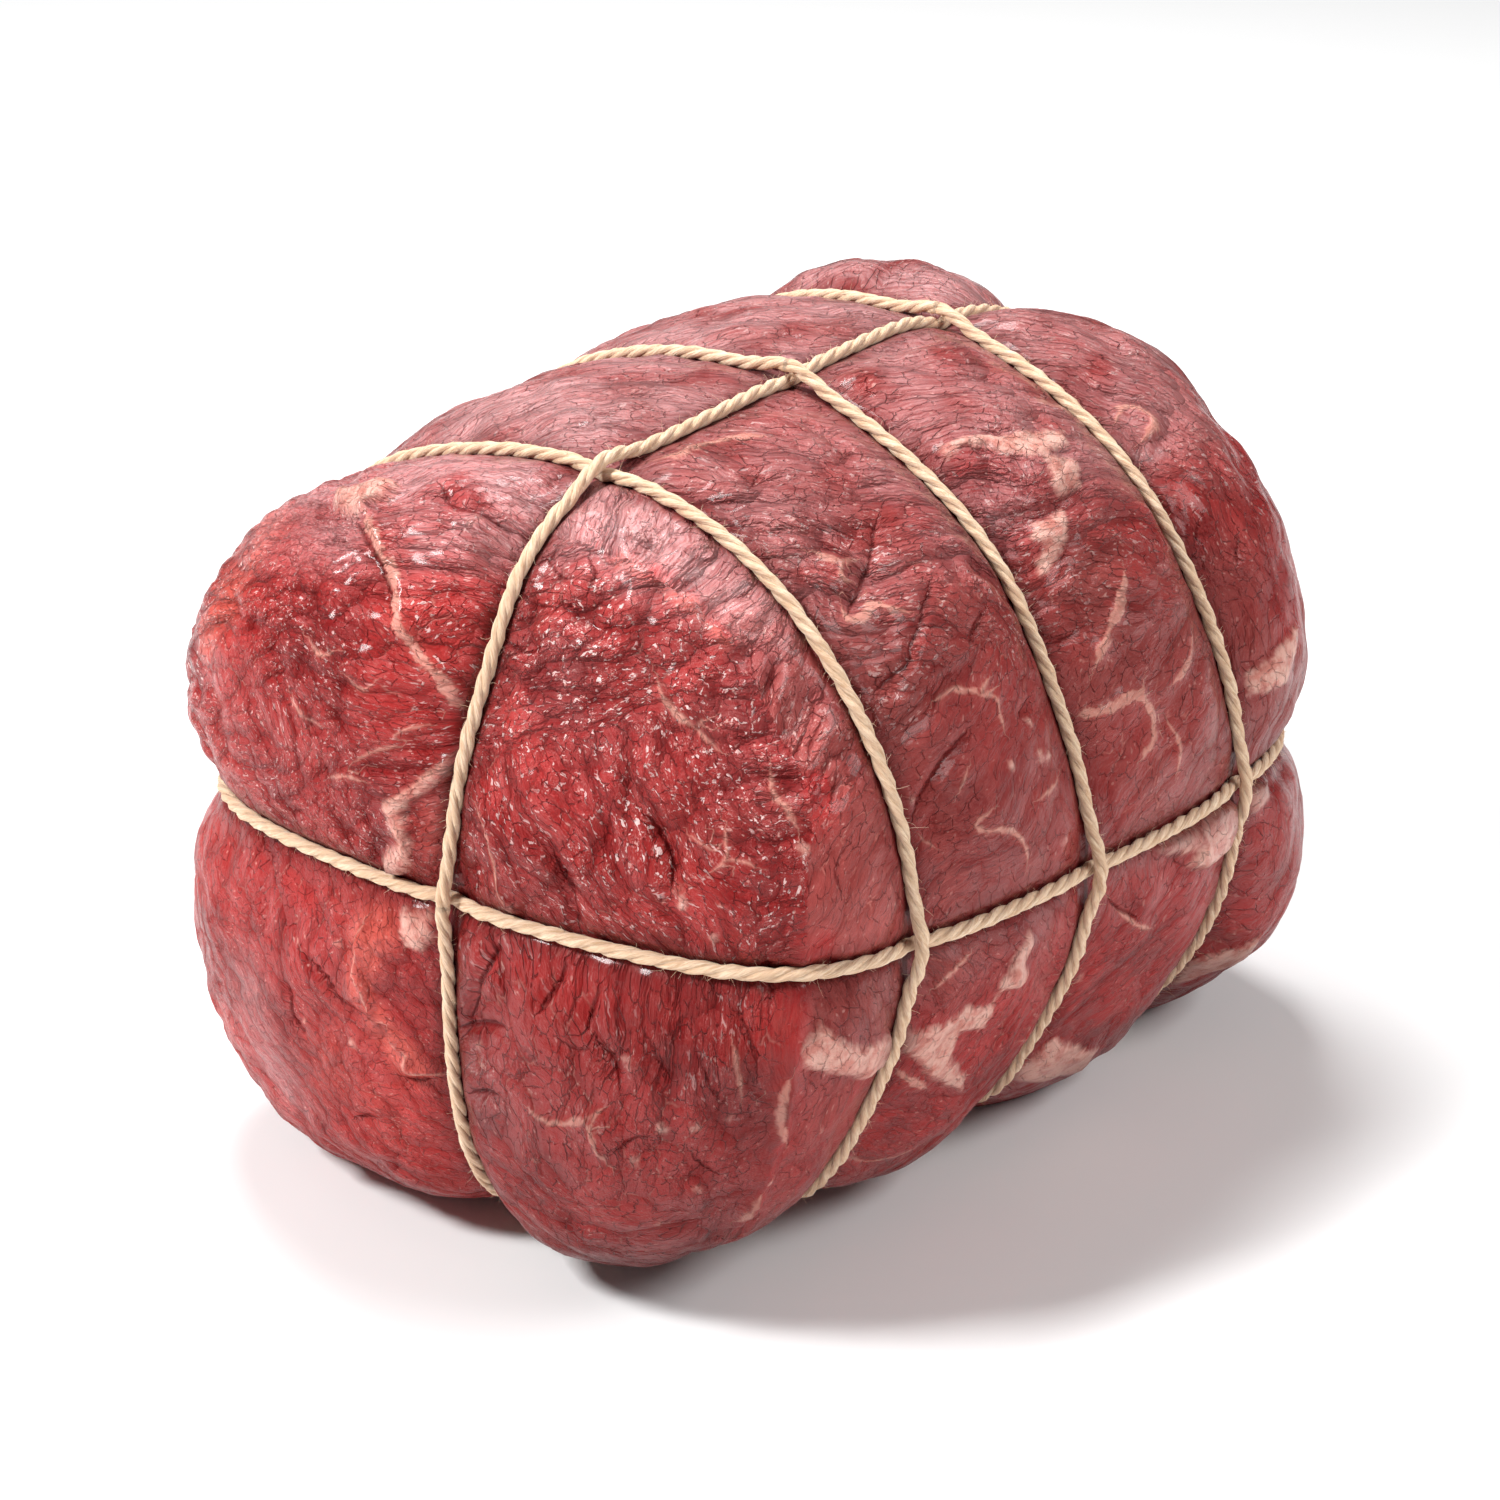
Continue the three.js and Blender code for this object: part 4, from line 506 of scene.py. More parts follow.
def smooth_line(points, step=0.8):
    p = np.array(points, float)
    if len(p) < 3:
        return p
    padded = np.concatenate([2 * p[:1] - p[1:2], p, 2 * p[-1:] - p[-2:-1]])
    out = []
    for k in range(len(p) - 1):
        a, b, c, d = padded[k:k + 4]
        n = max(2, int(np.linalg.norm(c - b) / step))
        t = (np.arange(n) / n)[:, None]
        out.append(0.5 * (2 * b + (c - a) * t + (2 * a - 5 * b + 4 * c - d) * t ** 2 + (3 * b - a - 3 * c + d) * t ** 3))
    return np.concatenate(out + [p[-1:]])


def beside_line(points, v, n):
    """For each vertex: signed mm to the line, mm along it and the line's length."""
    line = smooth_line(points)
    best = np.full(len(v), 1e9)
    signed, along = np.zeros(len(v)), np.zeros(len(v))
    start = 0.0
    for a, b in zip(line[:-1], line[1:]):
        ab = b - a
        long_ = np.linalg.norm(ab)
        if long_ < 1e-6:
            continue
        t = ab / long_
        m = np.clip((v - a) @ t, 0, long_)
        q = v - a - m[:, None] * t
        full = (q ** 2).sum(1)
        q = q - n * (q * n).sum(1)[:, None]
        d = np.linalg.norm(q, axis=1)
        take = full < best
        side = np.sign((np.cross(t, n) * q).sum(1))
        best = np.where(take, full, best)
        signed = np.where(take, side * d, signed)
        along = np.where(take, start + m, along)
        start += long_
    return signed, along, start, np.sqrt(best)


# ---- directions the fibres and folds run in, stretch by stretch
def tangent(direction, n):
    """The direction on a patch facing n that looks like this one from the front."""
    direction = np.asarray(direction, float)
    k = float(BACK @ n)
    if k > 0.15:
        direction = direction - BACK * float(direction @ n) / k
    else:
        direction = direction - n * float(direction @ n)
    return direction / np.linalg.norm(direction)


end_share = np.abs(body_normal[:, 0])
rim_side, _, _, _ = beside_line(RIM, tied, normal)
is_end = np.where(near_side, rim_side > 0, end_share > 0.72)
is_end = np.where(near_side & (plain[:, 0] > -20), end_share > 0.72, is_end)
stretch_of = np.where((is_end | ~near_side) & (zone == 0), 0, np.where(zone == 0, 1, np.where(zone == 1, 2, np.where(zone == 2, 3, np.where(end_share > 0.72, 5, 4)))))
patch = stretch_of * 4 + np.where(near_side, 0, 2) + np.where(upper, 0, 1)
# patch number: stretch (0 front end, 1 behind its rim, 2 A-B, 3 B-C, 4 behind C, 5 back end), x4, +0 near upper, +1 near lower, +2 far upper, +3 far lower
X, Y, Z = np.eye(3)
FLOWS = {
    0: (slope(6), slope(-62)), 1: (slope(78), slope(-18)), 2: (slope(17), slope(96)), 3: (slope(-66), slope(-12)),
    4: (slope(64), slope(30)), 5: (slope(70), slope(-30)), 6: (slope(5), slope(30)), 7: (-X * 0.3 + Z, X),
    8: (slope(50), slope(-12)), 9: (slope(36), slope(-8)), 10: (slope(-4), slope(12)), 11: (X + Z * 0.3, X - Z * 0.5),
    12: (slope(56), slope(4)), 13: (slope(58), slope(30)), 14: (slope(-2), slope(14)), 15: (X * 0.8 - Z * 0.4, X + Z * 0.3),
    16: (slope(66), slope(20)), 17: (slope(58), slope(40)), 18: (slope(-8), slope(10)), 19: (X * 0.5 + Z, X),
    20: (Y + Z * 0.2, Y * 0.4 + Z), 21: (Z + Y * 0.3, Y - Z * 0.2), 22: (Y - Z * 0.3, Z - Y * 0.4), 23: (Z - Y * 0.4, Y + Z * 0.1),
}
wander = np.stack([layered(plain / 26.0, seed=s, layers=2) * 5.0 + layered(plain / 3.4, seed=s + 30, layers=2) * 0.5 for s in (3, 5, 7)], -1)
flow = np.zeros((count, 3))
flow2 = np.zeros((count, 3))
for which_way, out, ids in ((0, flow, patch), (1, flow2, patch)):
    ids = ids.copy()
    rim_band = near_side & (zone == 0) & (plain[:, 0] < -20)
    low = np.where(upper, 0, 1)
    if which_way == 0:
        ids[rim_band] = low[rim_band]
    else:
        beyond = rim_band & (rim_side < 2.5)
        ids[beyond] = 4 + low[beyond]
    back = zone == 3
    ids[back] = (20 if which_way == 0 else 16) + np.where(near_side, 0, 2)[back] + low[back]
    for number, pair in FLOWS.items():
        here = ids == number
        if not here.any():
            continue
        n = unit(body_normal[here].mean(0))
        f = tangent(pair[0 if number in (4, 5) else which_way], n)
        s = unit(np.cross(n, f))
        out[here] = (plain[here] + wander[here]) @ np.stack([f, s, np.cross(f, s)], 1) + number * 7.3
        if number < 4:
            out[here] *= (1.25, 1.2, 2.0, 1.8)[number]
            out[here, 0] *= (1.35 if number in (0, 2) else 1.15) if which_way == 0 else 1.1
        else:
            out[here] *= 1.25
z = plain[:, 2]
turn = np.select(
    [patch == 0, patch == 1, patch == 2, patch == 3, patch == 8, patch == 12, patch == 4],
    [ease((50 - z - 0.35 * (plain[:, 1] + 30)) / 24), ease((-22 - z) / 24), ease((4 - z + 0.6 * (plain[:, 1] - 20)) / 26),
     ease((-30 - z - 0.5 * plain[:, 1] + 16) / 20), ease((z - 34) / 14), ease((z - 26) / 14), ease((z - 30) / 14)],
    ease(0.5 + 0.8 * noise(plain / 30.0, 40)))
turn = ease(turn + 0.25 * noise(plain / 9.0, 41))
turn = np.where(zone == 3, ease((0.76 - end_share) / 0.10 + 0.15 * noise(plain / 7.0, 42)), turn)
turn = np.where(rim_band, np.where(rim_side > 2.5, turn * ease((rim_side - 4) / 6), ease((1.5 - rim_side) / 3.0)), turn)
broad = 0.5 + 0.42 * layered(plain / 19.0, 44, 2)
# ---- how strongly each kind of texture shows
crinkle = np.select([patch == 0, patch == 1, patch == 2, patch == 3], [0.9, 0.66, 0.74, 0.56], 0.46)
crinkle = np.where((stretch_of > 0) & (plain[:, 2] > 28), crinkle + 0.3 * ease((plain[:, 2] - 28) / 14), crinkle)
crinkle = np.where((stretch_of == 1) & near_side & upper, 0.56 + 0.36 * ease((plain[:, 2] - 16) / 22), crinkle)
crinkle = crinkle * (0.75 + 0.35 * noise(plain / 14.0, 50))
grain = np.select([patch == 1, patch == 2, patch == 0], [0.6, 0.5, 0.5], 0.6) * (0.8 + 0.4 * noise(plain / 11.0, 51))
tone = np.select([patch == 0, patch == 1, patch == 2, patch == 3, stretch_of == 1], [0.2, 0.1, 0.3, 0.32, -0.85], -0.55)
tone = tone + 0.35 * layered(plain / 20.0, 52) + 0.45 * (stretch_of > 0) * ease((6 - plain[:, 2]) / 24)
# film_and_sheen: partly a pale skin-like film, partly painted sheen; it is laid on the upward-facing tops as painted
# light
film_and_sheen = np.zeros(count)
top_share = ease((body_normal[:, 2] - 0.55) / 0.35)
film_and_sheen += 0.70 * top_share * ease(0.75 + 0.8 * layered(plain / 13.0, 53)) * np.where(zone == 0, 1.3, np.where(near_side & (zone == 1), 0.62, np.where(near_side, 0.85, 1.15)))
# painted pinkish sheen on the front end's near upper lobe, towards its top
film_and_sheen += 0.12 * (patch == 0) * ease((plain[:, 2] - 20) / 26) * (0.7 + 0.5 * noise(plain / 8.0, 54))
fat = np.full(count, -9.0)            # mm inside a fat patch, less than 0 outside
pale = np.full(count, 9.0)            # signed mm from the nearest pale seam
pale_half = np.full(count, -9.0)      # and its half width there
split = np.full(count, 9.0)           # the same for dark splits
split_half = np.full(count, -9.0)
lift = np.zeros(count)

hold = ease((string_gap - 1.5) / 5.0)                  # swellings fade out at the strings
base_hold = ease((plain[:, 2] + REST_DROP - 0.5) / 7.0)
lift += hold * (1.0 * layered(plain / 17.0, 60, 2) + 0.25)

# where the small wet glints are painted into the colour: most on the cut front end's upper half, few behind its rim and
# low down
glint = np.where(stretch_of == 0, 1.0, np.where((stretch_of == 1) & near_side, 0.25, 0.60)) * (0.35 + 0.65 * ease((plain[:, 2] + 14) / 40))
dry = 0.75 * ease((-normal[:, 2] + 0.10) / 0.55)         # undersides hold less wet shine
# colour multiplier: lighter behind the rim's upper part and on the front end's far lobes, darker towards the bottom of
# its near lower lobe and low down at the back; painted light makes the near upper lobe lighter towards its top, and
# painted shade darkens the downward-facing undersides
value = 1 + 0.34 * ((stretch_of == 1) & near_side & upper) + 0.12 * (patch == 0) * ease((plain[:, 2] - 10) / 24) + 0.14 * (patch == 2) + 0.17 * (patch == 3) - 0.30 * ((patch == 1) * ease((6 - plain[:, 2]) / 14)) - 0.15 * ((stretch_of >= 4) & ~upper) - 0.30 * ease((-normal[:, 2] - 0.35) / 0.4)


# ---- what the surface carries: seams, splits, fat, flaps and changes of tone
def close_by(points, margin):
    p = np.asarray(points)
    inside = ((plain > p.min(0) - margin) & (plain < p.max(0) + margin)).all(1) | ((tied > p.min(0) - margin) & (tied < p.max(0) + margin)).all(1)
    return np.nonzero(inside)[0]


def add_line(field, points, half, ridge, step=0.0):
    which = close_by(points, 12.0)
    s, along, total, full = beside_line(points, tied[which], normal[which])
    taper = np.clip(np.minimum(along, total - along) / min(2.5, total / 2.2), 0, 1) ** 0.6
    near_ = np.abs(s) < np.abs(field[which])
    take = near_ & (full < 4.0)
    half_field = pale_half if field is pale else split_half
    field[which[take]] = s[take]
    half_field[which[take]] = np.where(full[take] < half + 2.4, half * (0.25 + 0.75 * taper[take]), -9.0)
    wide = half + 0.55
    shape = ridge * np.exp(-(s / wide) ** 2) * np.exp(-(np.maximum(full - np.abs(s) - 0.4, 0) / 1.0) ** 2) * (0.3 + 0.7 * taper)
    lift[which] += shape
    if step:
        hand = s * np.sign(step)
        rise = ease((hand + 0.5) / 1.1) * np.exp(-np.maximum(hand, 0) / 7.0)
        lift[which] += abs(step) * rise * taper * (full < 12.0) * np.exp(-(np.maximum(full - np.abs(s) - 0.4, 0) / 1.5) ** 2)


def add_fat(points, height, spread=0.0):
    p = np.array(points, float)
    which = close_by(p, 4.0)
    middle = p.mean(0)
    _, _, axes = np.linalg.svd(p - middle)
    flat = (p - middle) @ axes[:2].T
    v = (tied[which] - middle) @ axes[:2].T
    depth = np.abs((tied[which] - middle) @ axes[2])
    inside = np.zeros(len(v), bool)
    edge = np.full(len(v), 1e9)
    for k in range(len(flat)):
        a, b = flat[k - 1], flat[k]
        ab = b - a
        m = np.clip(((v - a) @ ab) / max(ab @ ab, 1e-9), 0, 1)
        edge = np.minimum(edge, np.linalg.norm(v - a - m[:, None] * ab, axis=1))
        cross = (a[1] > v[:, 1]) != (b[1] > v[:, 1])
        with np.errstate(divide="ignore", invalid="ignore"):
            inside ^= cross & (v[:, 0] < (b[0] - a[0]) * (v[:, 1] - a[1]) / (b[1] - a[1]) + a[0])
    s = np.where(inside, edge, -edge)
    s = np.where(depth < 14, s, -9.0)
    fat[which] = np.maximum(fat[which], s)
    lift[which] += height * ease((s + 0.6) / 1.8)


FIELDS = {"tone": tone, "film_and_sheen": film_and_sheen, "crinkle": crinkle, "grain": grain, "lift": lift}


def add_zone(field, value, radius, ends):
    a, b = np.array(ends[0]), np.array(ends[1])
    which = close_by([a, b], radius * 2.6)
    ab = b - a
    m = np.clip(((tied[which] - a) @ ab) / max(ab @ ab, 1e-9), 0, 1)
    d = np.linalg.norm(tied[which] - a - m[:, None] * ab, axis=1)
    FIELDS[field][which] += value * np.exp(-(d / radius) ** 2)


for half, ridge, step, points in PALE_SEAMS:
    add_line(pale, points, half, ridge, step)
for half, depth, points in SPLITS:
    add_line(split, points, half, -depth)
for height, points in FAT_PATCHES:
    add_fat(points, height)
for radius, place in FLECKS:
    which = close_by([place], 3.0)
    s = radius - np.linalg.norm(tied[which] - np.array(place), axis=1)
    fat[which] = np.maximum(fat[which], s)
    lift[which] += 0.35 * ease((s + 0.8) / 1.4)
for zone_ in ZONES:
    add_zone(*zone_)

# ---- the sides away from the camera carry the same sorts of marks, laid at random
rng = np.random.default_rng(21)
skin = kdtree.KDTree(count)
for k, p in enumerate(tied):
    skin.insert(p, k)
skin.balance()
hidden = np.nonzero((normal @ BACK < -0.05) & (string_gap > 4) & (plain[:, 2] > -REST_DROP + 1.0))[0]
sole = np.nonzero((normal[:, 2] < -0.95) & (string_gap > 5))[0]


def wander_line(start, length, turn_by):
    k = start
    way = unit(np.array(GRAIN_WAY[patch[k]]) * (1 if rng.random() < 0.5 else -1) + 0.35 * rng.normal(size=3))
    p, out = tied[k], [tied[k]]
    for _ in range(max(2, int(length / 2.2))):
        way = unit(way - normal[k] * (way @ normal[k]))
        way = unit(way + np.cross(normal[k], way) * rng.normal() * turn_by)
        k = skin.find(p + way * 2.2)[1]
        p = tied[k]
        out.append(p)
    return np.array(out)


GRAIN_WAY = {number: (f[0] if isinstance(f[0], np.ndarray) else np.array(f[0])) for number, f in FLOWS.items()}
for places, many in ((hidden, 46), (sole, 16)):
    for _ in range(many):
        add_line(pale, wander_line(rng.choice(places), rng.uniform(6, 22), 0.35), rng.uniform(0.3, 0.8), 0.35, rng.choice([0, 0, 0, 0.5, -0.5]))
for places, many in ((hidden, 60), (sole, 14)):
    for _ in range(many):
        add_line(split, wander_line(rng.choice(places), rng.uniform(3, 10), 0.25), rng.uniform(0.22, 0.45), -rng.uniform(0.5, 1.3))
for places, many in ((hidden, 9), (sole, 3)):
    for _ in range(many):
        k = rng.choice(places)
        n = normal[k]
        a = unit(np.cross(n, rng.normal(size=3)))
        b = np.cross(n, a)
        la, lb = rng.uniform(6, 14), rng.uniform(2.5, 5)
        ring = []
        for t in np.linspace(0, 2 * math.pi, 13)[:-1]:
            r = rng.uniform(0.6, 1.15)
            ring.append(tied[skin.find(tied[k] + a * math.cos(t) * la * r + b * math.sin(t) * lb * r)[1]])
        add_fat(ring, rng.uniform(0.4, 0.9))
# bundles of muscle, as lumps longer along the grain
def mixed(fn, scale, seed):
    a = fn(flow * scale, seed)
    b = fn(flow2 * scale, seed + 1)
    return a * (1 - turn) + b * turn


big = mixed(domes, np.array([0.07, 0.13, 0.13]), 70)
small = mixed(domes, np.array([0.13, 0.25, 0.25]), 74)
folds = mixed(lambda p, s: 1 - np.abs(noise(p, s)) * 2, np.array([0.07, 0.26, 0.26]), 78)
lift += (0.35 + 0.65 * hold) * np.clip(crinkle, 0, 1.3) * (3.0 * (big - 0.75) + 0.9 * (small - 0.75) + 0.3 * (folds - 0.5))
# the hollows between the big lumps: the colour is painted darker there as shade, and the coat is thinner there
hollow = ease((0.62 - big) / 0.4)

shaped = tied + normal * (lift * (0.15 + 0.85 * base_hold))[:, None]

# the cut end's rim stands up as a thin ridge down its lower half
ridge_share = ease((18 - plain[:, 2]) / 14) * (np.abs(rim_side) < 8) * near_side * (zone == 0)
shaped += normal * (ridge_share * (0.9 * np.exp(-(rim_side / 1.3) ** 2) - 0.5 * np.exp(-((rim_side + 4.0) / 2.2) ** 2)) * base_hold)[:, None]
ridge_band = ridge_share * np.exp(-((rim_side - 0.6) / 2.6) ** 2)
tone = tone * (1 - ridge_band) + 0.12 * ridge_band
film_and_sheen = film_and_sheen * (1 - ridge_band)
bare = 1 - 0.85 * ridge_band
# ---- the meat closes round the twine
def closed_path(points, step, pull):
    """Points a step apart on a smooth closed curve, with the way outward at each."""
    p = np.array(points) - SHIFT
    n = len(p)
    out = []
    for k in range(n):
        a, b, c, d = p[k - 1], p[k], p[(k + 1) % n], p[(k + 2) % n]
        ab, bc, cd = (max(np.linalg.norm(x), 1e-6) ** 0.5 for x in (b - a, c - b, d - c))
        m1 = (c - b + bc * ((b - a) / ab - (c - a) / (ab + bc)))
        m2 = (c - b + bc * ((d - c) / cd - (d - b) / (bc + cd)))
        count_ = max(2, int(np.linalg.norm(c - b) / 0.25))
        t = (np.arange(count_) / count_)[:, None]
        out.append((2 * t ** 3 - 3 * t ** 2 + 1) * b + (t ** 3 - 2 * t ** 2 + t) * m1 + (3 * t ** 2 - 2 * t ** 3) * c + (t ** 3 - t ** 2) * m2)
    fine = np.concatenate(out)
    gaps = np.linalg.norm(np.roll(fine, -1, 0) - fine, axis=1)
    travel = np.concatenate([[0], np.cumsum(gaps)])
    total = travel[-1]
    marks = np.arange(round(total / step)) * total / round(total / step)
    ring = np.concatenate([fine, fine[:1]])
    line = np.stack([np.interp(marks, travel, ring[:, k]) for k in range(3)], -1)
    h = 0.5
    grads = []
    for axis in range(3):
        e = np.zeros(3); e[axis] = h
        grads.append([np.linalg.norm(line + s * e, axis=1) - np.linalg.norm(body(unit(line + s * e)), axis=1) for s in (1, -1)])
    out_way = unit(np.stack([g[0] - g[1] for g in grads], -1))
    for _ in range(6):
        out_way = unit(out_way + np.roll(out_way, 1, 0) + np.roll(out_way, -1, 0))
    return line - out_way * pull, out_way, total


STEP = 0.8
PATHS = {name: closed_path(points, STEP, 0.30) for name, points in TWINE_PATHS.items()}
TWINE_R = 1.15

tree = kdtree.KDTree(sum(len(v[0]) for v in PATHS.values()))
lines = np.concatenate([v[0] for v in PATHS.values()])
for k, p in enumerate(lines):
    tree.insert(p, k)
tree.balance()
near = np.nonzero(string_gap < 7.0)[0]
found = [tree.find(shaped[k]) for k in near]
reach = np.array([f[2] for f in found])
foot = lines[[f[1] for f in found]]
d = string_gap[near]
short = np.clip(reach - TWINE_R + 0.02, 0, 0.75) * np.exp(-(d / 1.5) ** 2)
lips = (0.55 + 0.35 * noise(plain[near] / 5.0, 90)) * np.exp(-((d - 2.9) / 1.2) ** 2)
lips *= ease((12 - reach) / 8) * base_hold[near]
shaped[near] += normal[near] * (short + lips)[:, None]
q = shaped[near] - foot
far_off = np.linalg.norm(q, axis=1)
press = far_off < TWINE_R - 0.06
shaped[near[press]] = foot[press] + q[press] / far_off[press, None] * (TWINE_R - 0.06)
shaped[:, 2] = np.maximum(shaped[:, 2], -REST_DROP)
shade = np.zeros(count)
shade[near] = (0.7 * np.exp(-np.maximum(reach - 1.3, 0) / 1.2) + 0.62 * np.exp(-np.maximum(reach - 1.3, 0) / 3.4)) * ease((7.0 - d) / 3.0)

part = shaped + SHIFT


def new_object(name, verts, faces, materials, smooth=True):
    mesh = bpy.data.meshes.new(name)
    verts = np.ascontiguousarray(verts, np.float32)
    mesh.vertices.add(len(verts))
    mesh.vertices.foreach_set("co", verts.ravel())
    sizes = np.array([len(f) for f in faces]) if isinstance(faces, list) else np.full(len(faces), faces.shape[1])
    loops = np.concatenate([np.asarray(f) for f in faces]) if isinstance(faces, list) else faces.ravel()
    mesh.loops.add(len(loops))
    mesh.loops.foreach_set("vertex_index", loops.astype(np.int32))
    mesh.polygons.add(len(sizes))
    mesh.polygons.foreach_set("loop_start", np.concatenate([[0], np.cumsum(sizes)[:-1]]).astype(np.int32))
    mesh.update(calc_edges=True)
    mesh.validate()
    mesh.polygons.foreach_set("use_smooth", np.full(len(mesh.polygons), smooth))
    for m in materials:
        mesh.materials.append(m)
    obj = bpy.data.objects.new(name, mesh)
    bpy.context.scene.collection.objects.link(obj)
    return obj


def paint(obj, name, values):
    values = np.asarray(values, np.float32)
    kind = "FLOAT" if values.ndim == 1 else "FLOAT_VECTOR"
    layer = obj.data.attributes.new(name, kind, "POINT")
    layer.data.foreach_set("value" if values.ndim == 1 else "vector", values.ravel())


# ---------------------------------------------------------------- materials
class Nodes:
    """Short hands for building a material's nodes."""

    def __init__(self, name):
        self.material = bpy.data.materials.new(name)
        self.material.use_nodes = True
        self.tree = self.material.node_tree
        self.shader = self.tree.nodes["Principled BSDF"]

    def add(self, kind, **settings):
        node = self.tree.nodes.new(kind)
        for key, value in settings.items():
            setattr(node, key, value)
        return node

    def put(self, value, socket):
        if isinstance(value, bpy.types.NodeSocket):
            self.tree.links.new(value, socket)
        elif isinstance(value, (tuple, list)) and len(value) == 3 and socket.type == "RGBA":
            socket.default_value = (*value, 1)
        else:
            socket.default_value = value

    def attr(self, name, vector=False):
        node = self.add("ShaderNodeAttribute", attribute_name=name)
        return node.outputs["Vector" if vector else "Fac"]

    def math(self, op, a, b=0.0, c=0.0, clamp=False):
        node = self.add("ShaderNodeMath", operation=op, use_clamp=clamp)
        for value, socket in zip((a, b, c), node.inputs):
            self.put(value, socket)
        return node.outputs[0]

    def vec(self, op, a, b=(0, 0, 0)):
        node = self.add("ShaderNodeVectorMath", operation=op)
        self.put(a, node.inputs[0])
        if op == "SCALE":
            self.put(b, node.inputs["Scale"])
        else:
            self.put(b, node.inputs[1])
        return node.outputs["Value" if op in ("LENGTH", "DOT_PRODUCT", "DISTANCE") else "Vector"]

    def ramp(self, value, low, high, to_low=0.0, to_high=1.0):
        node = self.add("ShaderNodeMapRange", interpolation_type="SMOOTHSTEP")
        for key, v in (("Value", value), ("From Min", low), ("From Max", high), ("To Min", to_low), ("To Max", to_high)):
            self.put(v, node.inputs[key])
        return node.outputs[0]

    def noise(self, where, scale, detail=2.0, rough=0.5, warp=0.0, flat=False):
        node = self.add("ShaderNodeTexNoise", noise_dimensions="2D" if flat else "3D")
        self.put(where, node.inputs["Vector"])
        self.put(scale, node.inputs["Scale"])
        self.put(detail, node.inputs["Detail"])
        self.put(rough, node.inputs["Roughness"])
        self.put(warp, node.inputs["Distortion"])
        return node.outputs[0]

    def cells(self, where, scale, feature="F1", flat=False):
        node = self.add("ShaderNodeTexVoronoi", voronoi_dimensions="2D" if flat else "3D", feature=feature)
        self.put(where, node.inputs["Vector"])
        self.put(scale, node.inputs["Scale"])
        return node

    def blend(self, share, a, b, mode="MIX"):
        node = self.add("ShaderNodeMix", data_type="RGBA", blend_type=mode)
        self.put(share, node.inputs[0])
        self.put(a, node.inputs[6])
        self.put(b, node.inputs[7])
        return node.outputs[2]

    def stretch(self, where, by):
        return self.vec("MULTIPLY", where, by)

    def bump(self, height, distance, normal=None):
        node = self.add("ShaderNodeBump")
        self.put(height, node.inputs["Height"])
        node.inputs["Strength"].default_value = 1.0
        node.inputs["Distance"].default_value = distance
        if normal is not None:
            self.put(normal, node.inputs["Normal"])
        return node.outputs[0]

    def set(self, **values):
        for key, value in values.items():
            self.put(value, self.shader.inputs[key.replace("_", " ")])


